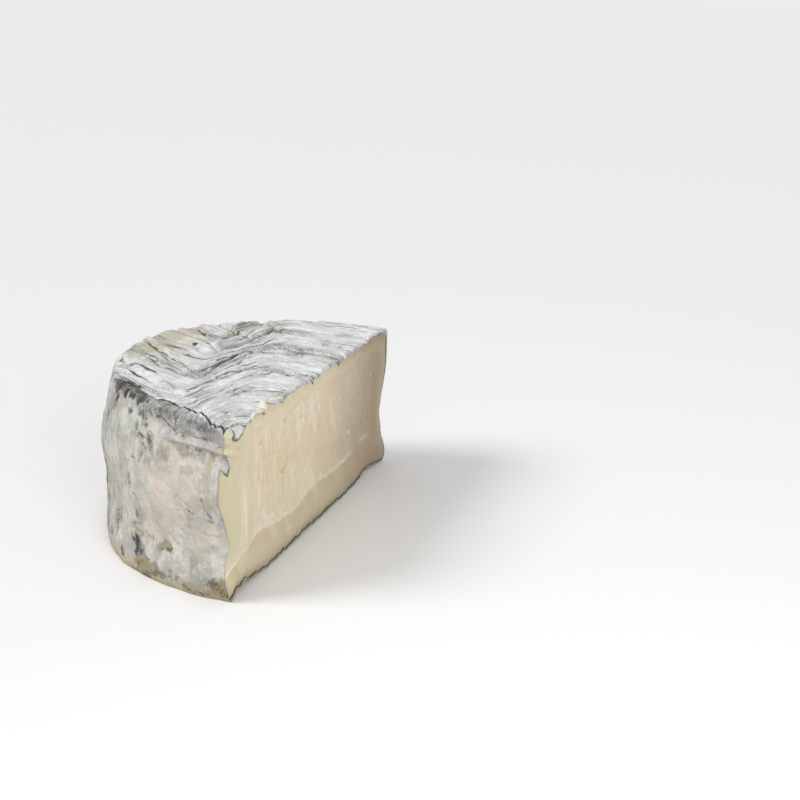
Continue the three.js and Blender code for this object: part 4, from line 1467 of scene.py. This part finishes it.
def streaked(across, along, detail=3.0):
    """Noise drawn out along the folds: its first coordinate is the pleat number, which changes fast
    across a fold, and the other two are the place, which changes slowly."""
    where = tree.nodes.new("ShaderNodeCombineXYZ")
    feed(tree, where.inputs[0], math_node(tree, "MULTIPLY", pleat, across))
    feed(tree, where.inputs[1], math_node(tree, "MULTIPLY", place.outputs[0], along))
    feed(tree, where.inputs[2], math_node(tree, "MULTIPLY", place.outputs[1], along))
    texture = tree.nodes.new("ShaderNodeTexNoise")
    tree.links.new(where.outputs[0], texture.inputs["Vector"])
    texture.inputs["Scale"].default_value = 1.0
    texture.inputs["Detail"].default_value = detail
    texture.inputs["Roughness"].default_value = 0.6
    return texture.outputs[0]


def thin_line(number, per_mm, inner, outer):
    """1 within inner and 0 beyond outer millimetres of the places where a number is whole."""
    apart = math_node(tree, "DIVIDE", math_node(tree, "PINGPONG", number, 0.5), per_mm)
    return ranged(tree, apart, inner, outer, 1.0, 0.0)


mottled, grainy = place_grain(tree, 95.0, 1.0)
speckled, gritty = place_grain(tree, 420.0, 1.3)
fibrous = place_grain(tree, 300.0, 7.0)[0]
streak, thread = streaked(1.5, 95.0), streaked(4.6, 330.0, 2.0)
top_here = stored(tree, "top")
print("streaks and grains:", len(tree.nodes), "nodes")

# %% Frayed masks
def frayed(name, reach, soft):
    """A mask whose soft border is broken up into specks: grain on the wall, or streaks on the top,
    pushes it up and down by a reach, and the sum is cut off half-way up, more or less softly."""
    rough = mixed(tree, top_here, speckled, streak)
    push = summed(tree, (rough, 0.55 * reach), (gritty, 0.45 * reach))
    pushed = math_node(tree, "ADD", stored(tree, name), math_node(tree, "SUBTRACT", push, 0.5 * reach))
    cut_off = ranged(tree, pushed, 0.5 - soft, 0.5 + soft)
    return times(tree, cut_off, ranged(tree, stored(tree, name), 0.02, 0.3))


frayed_grey_and_shade = frayed("grey", 1.6, 0.6)
frayed_tan = frayed("tan", 1.6, 0.55)
frayed_olive_and_shade = frayed("olive", 1.8, 0.5)
frayed_brown = frayed("brown", 3.2, 0.3)
frayed_ash_and_shade = frayed("ash", 2.8, 0.38)
print("with frayed masks:", len(tree.nodes), "nodes")

# %% Bloom on the top, with painted shade in the valleys
shadowed = ranged(tree, summed(tree, (streak, 0.3), (gritty, 0.7)), 0.44, 0.55, 1.1, 0.0)
smudged = ranged(tree, summed(tree, (streak, 0.5), (gritty, 0.5)), 0.43, 0.58, 1.0, 0.4)
HAIRLINES_PER_PLEAT = 2.37
hairline_number = times(tree, pleat, HAIRLINES_PER_PLEAT)
hairlines = thin_line(hairline_number, times(tree, pleats_per_mm, HAIRLINES_PER_PLEAT), 0.06, 0.36)
hairlines = times(tree, hairlines, ranged(tree, streak, 0.42, 0.54), stored(tree, "crease"), 0.9)
bloom_and_shade_top = layered(
    tree, graded(tree, streak, 0.4, 0.6, paint(212, 214, 213), paint(232, 234, 233)),
    (times(tree, ranged(tree, gritty, 0.5, 0.66), 0.45), paint(176, 178, 176)),
    (times(tree, ranged(tree, thread, 0.52, 0.66), 0.3), paint(166, 168, 166)),
    # Painted shade in the valleys of the main folds and on the sunken side of the pleats.
    (times(tree, stored(tree, "valley_shade"), shadowed, 0.66), paint(112, 113, 109)),
    (times(tree, stored(tree, "pleat_valley_shade"), shadowed, 0.8), paint(104, 105, 102)),
    (times(tree, stored(tree, "smudge"), smudged), paint(76, 77, 74)),
    (hairlines, paint(92, 93, 91)),
)
print("with the top's bloom:", len(tree.nodes), "nodes")

# %% Bloom on the wall, with painted shade in its creases
# Painted shade in the creases between the wall's puffs.
wall_crease_shade_share = times(tree, stored(tree, "valley_shade"), ranged(tree, speckled, 0.4, 0.6, 0.25, 0.7))
bloom_and_shade_wall = layered(
    tree, graded(tree, mottled, 0.34, 0.66, paint(158, 157, 151), paint(198, 197, 191)),
    (ranged(tree, grainy, 0.46, 0.68, 0.0, 0.5), paint(158, 156, 148)),
    (ranged(tree, speckled, 0.5, 0.64, 0.0, 0.55), paint(206, 204, 196)),
    (ranged(tree, fibrous, 0.5, 0.64, 0.0, 0.4), paint(140, 139, 134)),
    (ranged(tree, gritty, 0.53, 0.7, 0.0, 0.4), paint(142, 140, 132)),
    (times(tree, stored(tree, "pink"), 0.55), paint(204, 190, 172)),
    (wall_crease_shade_share, paint(140, 136, 128)),
)
print("with the wall's bloom:", len(tree.nodes), "nodes")

# %% Stains, soot and creases over the bloom
tan_paint = mixed(tree, top_here, paint(160, 144, 108), paint(178, 168, 142))
threads = summed(tree, (gritty, 0.4), (fibrous, 0.6))
ridge_soot = graded(tree, threads, 0.4, 0.58, paint(18, 18, 19), paint(84, 84, 82))
bared_wall = ranged(tree, fibrous, 0.54, 0.68, 1.0, 0.5)
bared = mixed(tree, top_here, bared_wall, ranged(tree, thread, 0.52, 0.68, 1.0, 0.6))
crease_here = times(tree, stored(tree, "crease"), ranged(tree, streak, 0.4, 0.54, 0.35, 1.0))
crease_shade = times(tree, thin_line(pleat, pleats_per_mm, 0.2, 0.9), crease_here, 0.45)
creases = times(tree, thin_line(pleat, pleats_per_mm, 0.1, 0.45), crease_here)
furrow_lines = thin_line(stored(tree, "furrow"), 1 / FURROW_SPACING, 0.15, 0.6)
furrow_lines = times(tree, furrow_lines, stored(tree, "furrow_share"))
rind_colour = layered(
    tree, mixed(tree, top_here, bloom_and_shade_wall, bloom_and_shade_top),
    # Grey mould, with painted shade on the rim's shoulder and under the belt.
    (times(tree, frayed_grey_and_shade, 0.9), paint(112, 114, 113)),
    (times(tree, frayed_tan, 0.8), tan_paint),
    # Olive stains, with painted shade under the belt.
    (times(tree, frayed_olive_and_shade, 0.85), paint(138, 130, 103)),
    (times(tree, frayed_brown, 0.8), paint(96, 82, 62)),
    # Ash, and painted shade under the belt.
    (times(tree, frayed_ash_and_shade, bared, 0.95), ridge_soot),
    (crease_shade, paint(136, 137, 134)),
    (creases, paint(50, 49, 47)),
    (ranged(tree, stored(tree, "lines"), 0.3, 0.8), paint(62, 60, 58)),
    (times(tree, furrow_lines, ranged(tree, speckled, 0.3, 0.55, 0.5, 1.0)), paint(88, 78, 62)),
    (stored(tree, "ink"), paint(72, 70, 68)),
)
print("with all colours:", len(tree.nodes), "nodes")

# %% Rind relief below the mesh's scale
scales = times(tree, math_node(tree, "FRACT", hairline_number), stored(tree, "crease"))
scales = times(tree, scales, ranged(tree, streak, 0.36, 0.5))
relief_top = summed(
    tree, (streak, 0.35), (thread, 0.15), (gritty, 0.3),
    (creases, -0.9), (hairlines, -0.5), (scales, -0.55),
)
relief_wall = summed(tree, (grainy, 0.9), (gritty, 0.4), (fibrous, -0.6))
finish_material(
    rind, rind_material, rind_colour, mixed(tree, top_here, relief_wall, relief_top),
    {"Strength": 0.85, "Distance": 0.0007},
    {"Roughness": 0.8, "Specular IOR Level": 0.25},
)

# %% [markdown]
# ## Materials of the paste and the curls
#
# Paste is moist and lets a little light in, so its shader has some subsurface scattering and less
# roughness than the rind. Its colours are close to one another, and the masks do most of the work.

# %% Paste material
paste_material, tree = started("ripe_paste")
coarse, fine = place_grain(tree, 330.0, 1.6)
cloudy = place_grain(tree, 60.0, 1.8)[0]
strokes = stored(tree, "strokes")
core = layered(
    tree, graded(tree, strokes, 0.2, 0.8, paint(222, 209, 181), paint(231, 220, 195)),
    (ranged(tree, cloudy, 0.42, 0.6, 0.0, 0.7), paint(221, 200, 166)),
    (ranged(tree, coarse, 0.5, 0.7, 0.0, 0.5), paint(236, 226, 206)),
)
foot_paint = graded(tree, strokes, 0.3, 0.8, paint(205, 188, 155), paint(215, 200, 169))
ragged_crumbs = math_node(tree, "ADD", stored(tree, "crumb"), times(tree, fine, 2.2))
paste_colour = layered(
    tree, core,
    (stored(tree, "band"), paint(219, 207, 177)),
    (stored(tree, "foot"), foot_paint),
    # Painted shade along the lower edge.
    (times(tree, stored(tree, "low_edge"), 0.8), paint(174, 166, 134)),
    (times(tree, stored(tree, "near_edge"), 0.75), paint(197, 190, 158)),
    # Painted shade towards the far end.
    (times(tree, stored(tree, "far_end"), 0.9), paint(154, 134, 105)),
    # Painted highlights up the near end and along the step.
    (stored(tree, "pale"), paint(236, 227, 204)),
    (ranged(tree, ragged_crumbs, 1.5, 1.95, 0.0, 0.65), paint(240, 233, 215)),
    (ranged(tree, stored(tree, "amber"), 0.15, 0.7), paint(224, 201, 143)),
)
finish_material(
    paste, paste_material, paste_colour, coarse,
    {"Strength": 0.3, "Distance": 0.0003},
    {"Roughness": 0.4, "Specular IOR Level": 0.4, "Subsurface Weight": 0.35,
     "Subsurface Radius": (1.0, 0.7, 0.35), "Subsurface Scale": 0.003},
)

# %% Curl material
curl_material, tree = started("dried_curls")
coarse, fine = place_grain(tree, 500.0, 1.0)
curl_colour = graded(tree, coarse, 0.35, 0.65, paint(212, 208, 188), paint(232, 229, 213))
finish_material(
    curls, curl_material, curl_colour, fine,
    {"Strength": 0.4, "Distance": 0.0003},
    {"Roughness": 0.5, "Subsurface Weight": 0.25,
     "Subsurface Radius": (1.0, 0.7, 0.35), "Subsurface Scale": 0.002},
)

# %% [markdown]
# ## Riding on the frame
#
# The rind, the paste and the curls together stand for the one solid half wheel, and all three move
# with its body.

# %% Ride and replace
for piece, slot_name in ((rind, "rind"), (paste, "paste"), (curls, "paste")):
    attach(piece, "root")
    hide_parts("half_wheel")
print("pieces ride on root")

# %% [markdown]
# ## Table, light and camera
#
# A plain pale table, a wide soft sun from above on the side of the rind, a weak square lamp before the
# near end of the cut, and a bright even surround give the soft shadows of a light tent. The camera
# looks down a little at the near end of the cut.

# %% Table
FLOOR_HALF = 60.0
floor_mesh = bpy.data.meshes.new("table")
corners = [(-FLOOR_HALF, -FLOOR_HALF, 0), (FLOOR_HALF, -FLOOR_HALF, 0),
           (FLOOR_HALF, FLOOR_HALF, 0), (-FLOOR_HALF, FLOOR_HALF, 0)]
floor_mesh.from_pydata(corners, [], [(0, 1, 2, 3)])
floor = bpy.data.objects.new("table", floor_mesh)
bpy.context.scene.collection.objects.link(floor)
floor_material, tree = started("pale_table")
floor_shader = tree.nodes["Principled BSDF"]
floor_shader.inputs["Base Color"].default_value = (0.88, 0.88, 0.88, 1)
floor_shader.inputs["Roughness"].default_value = 0.9
floor_shader.inputs["Specular IOR Level"].default_value = 0.1
floor_mesh.materials.append(floor_material)
print("table:", 2 * FLOOR_HALF, "m square")

# %% Sun and lamp
def soft_light(name, place, aim, size, watts):
    """A square area light at a place, turned towards a point."""
    data = bpy.data.lights.new(name, "AREA")
    data.shape = "SQUARE"
    data.size = size
    data.energy = watts
    lamp = bpy.data.objects.new(name, data)
    lamp.matrix_world = (
        Matrix.Translation(Vector(place))
        @ (Vector(aim) - Vector(place)).to_track_quat("-Z", "Y").to_matrix().to_4x4()
    )
    bpy.context.scene.collection.objects.link(lamp)


def soft_sun(name, travel, degrees, strength):
    """A light far away that is wide in the sky, so that table and object are lit evenly."""
    data = bpy.data.lights.new(name, "SUN")
    data.angle = math.radians(degrees)
    data.energy = strength
    lamp = bpy.data.objects.new(name, data)
    lamp.rotation_euler = Vector(travel).to_track_quat("-Z", "Y").to_euler()
    bpy.context.scene.collection.objects.link(lamp)


soft_sun("key", (0.45, -0.62, -0.62), degrees=24, strength=1.75)
soft_light("near_fill", (-0.36, -0.34, 0.3), aim=(-0.05, -0.02, 0.04), size=0.25, watts=0.75)
print("lights:", len(bpy.data.lights))

# %% Surround: one brightness for the light it gives, another for how it looks behind the table
world = bpy.data.worlds.new("tent")
world.use_nodes = True
world_tree = world.node_tree
tent_light = world_tree.nodes["Background"]
tent_light.inputs[0].default_value = (1.0, 1.0, 1.0, 1)
tent_light.inputs[1].default_value = 0.6
tent_wall = world_tree.nodes.new("ShaderNodeBackground")
tent_wall.inputs[0].default_value = (1.0, 1.0, 1.0, 1)
tent_wall.inputs[1].default_value = 0.84
seen = world_tree.nodes.new("ShaderNodeLightPath")
either = world_tree.nodes.new("ShaderNodeMixShader")
world_tree.links.new(seen.outputs["Is Camera Ray"], either.inputs[0])
world_tree.links.new(tent_light.outputs[0], either.inputs[1])
world_tree.links.new(tent_wall.outputs[0], either.inputs[2])
world_tree.links.new(either.outputs[0], world_tree.nodes["World Output"].inputs["Surface"])
bpy.context.scene.world = world
bpy.context.scene.view_settings.view_transform = "Standard"
print("surround:", world.name)

# %% Camera
EYE_PLACE = (np.array([-397.2, -169.7, 201.8]) + AXIS_FROM_BASE_MIDDLE) / 1000
AHEAD = np.array([0.8965, 0.2979, -0.3278])
TO_RIGHT = np.array([0.336, -0.9396, 0.0651])
FOCAL_PIXELS, FRAME_PIXELS = 1208.2, 800
SENSOR_WIDTH = 36.0
AHEAD = AHEAD / np.linalg.norm(AHEAD)
TO_RIGHT = TO_RIGHT - AHEAD * (TO_RIGHT @ AHEAD)
TO_RIGHT = TO_RIGHT / np.linalg.norm(TO_RIGHT)
UPWARD = np.cross(TO_RIGHT, AHEAD)
camera_data = bpy.data.cameras.new("camera")
camera_data.sensor_width = SENSOR_WIDTH
camera_data.lens = FOCAL_PIXELS * SENSOR_WIDTH / FRAME_PIXELS
camera_data.clip_start = 0.01
camera = bpy.data.objects.new("camera", camera_data)
turned = np.eye(4)
turned[:3, 0], turned[:3, 1], turned[:3, 2], turned[:3, 3] = TO_RIGHT, UPWARD, -AHEAD, EYE_PLACE
camera.matrix_world = Matrix(turned.tolist())
bpy.context.scene.collection.objects.link(camera)
bpy.context.scene.camera = camera
print("lens", round(camera_data.lens, 2), "mm")

# %% Finish
bpy.context.view_layer.update()
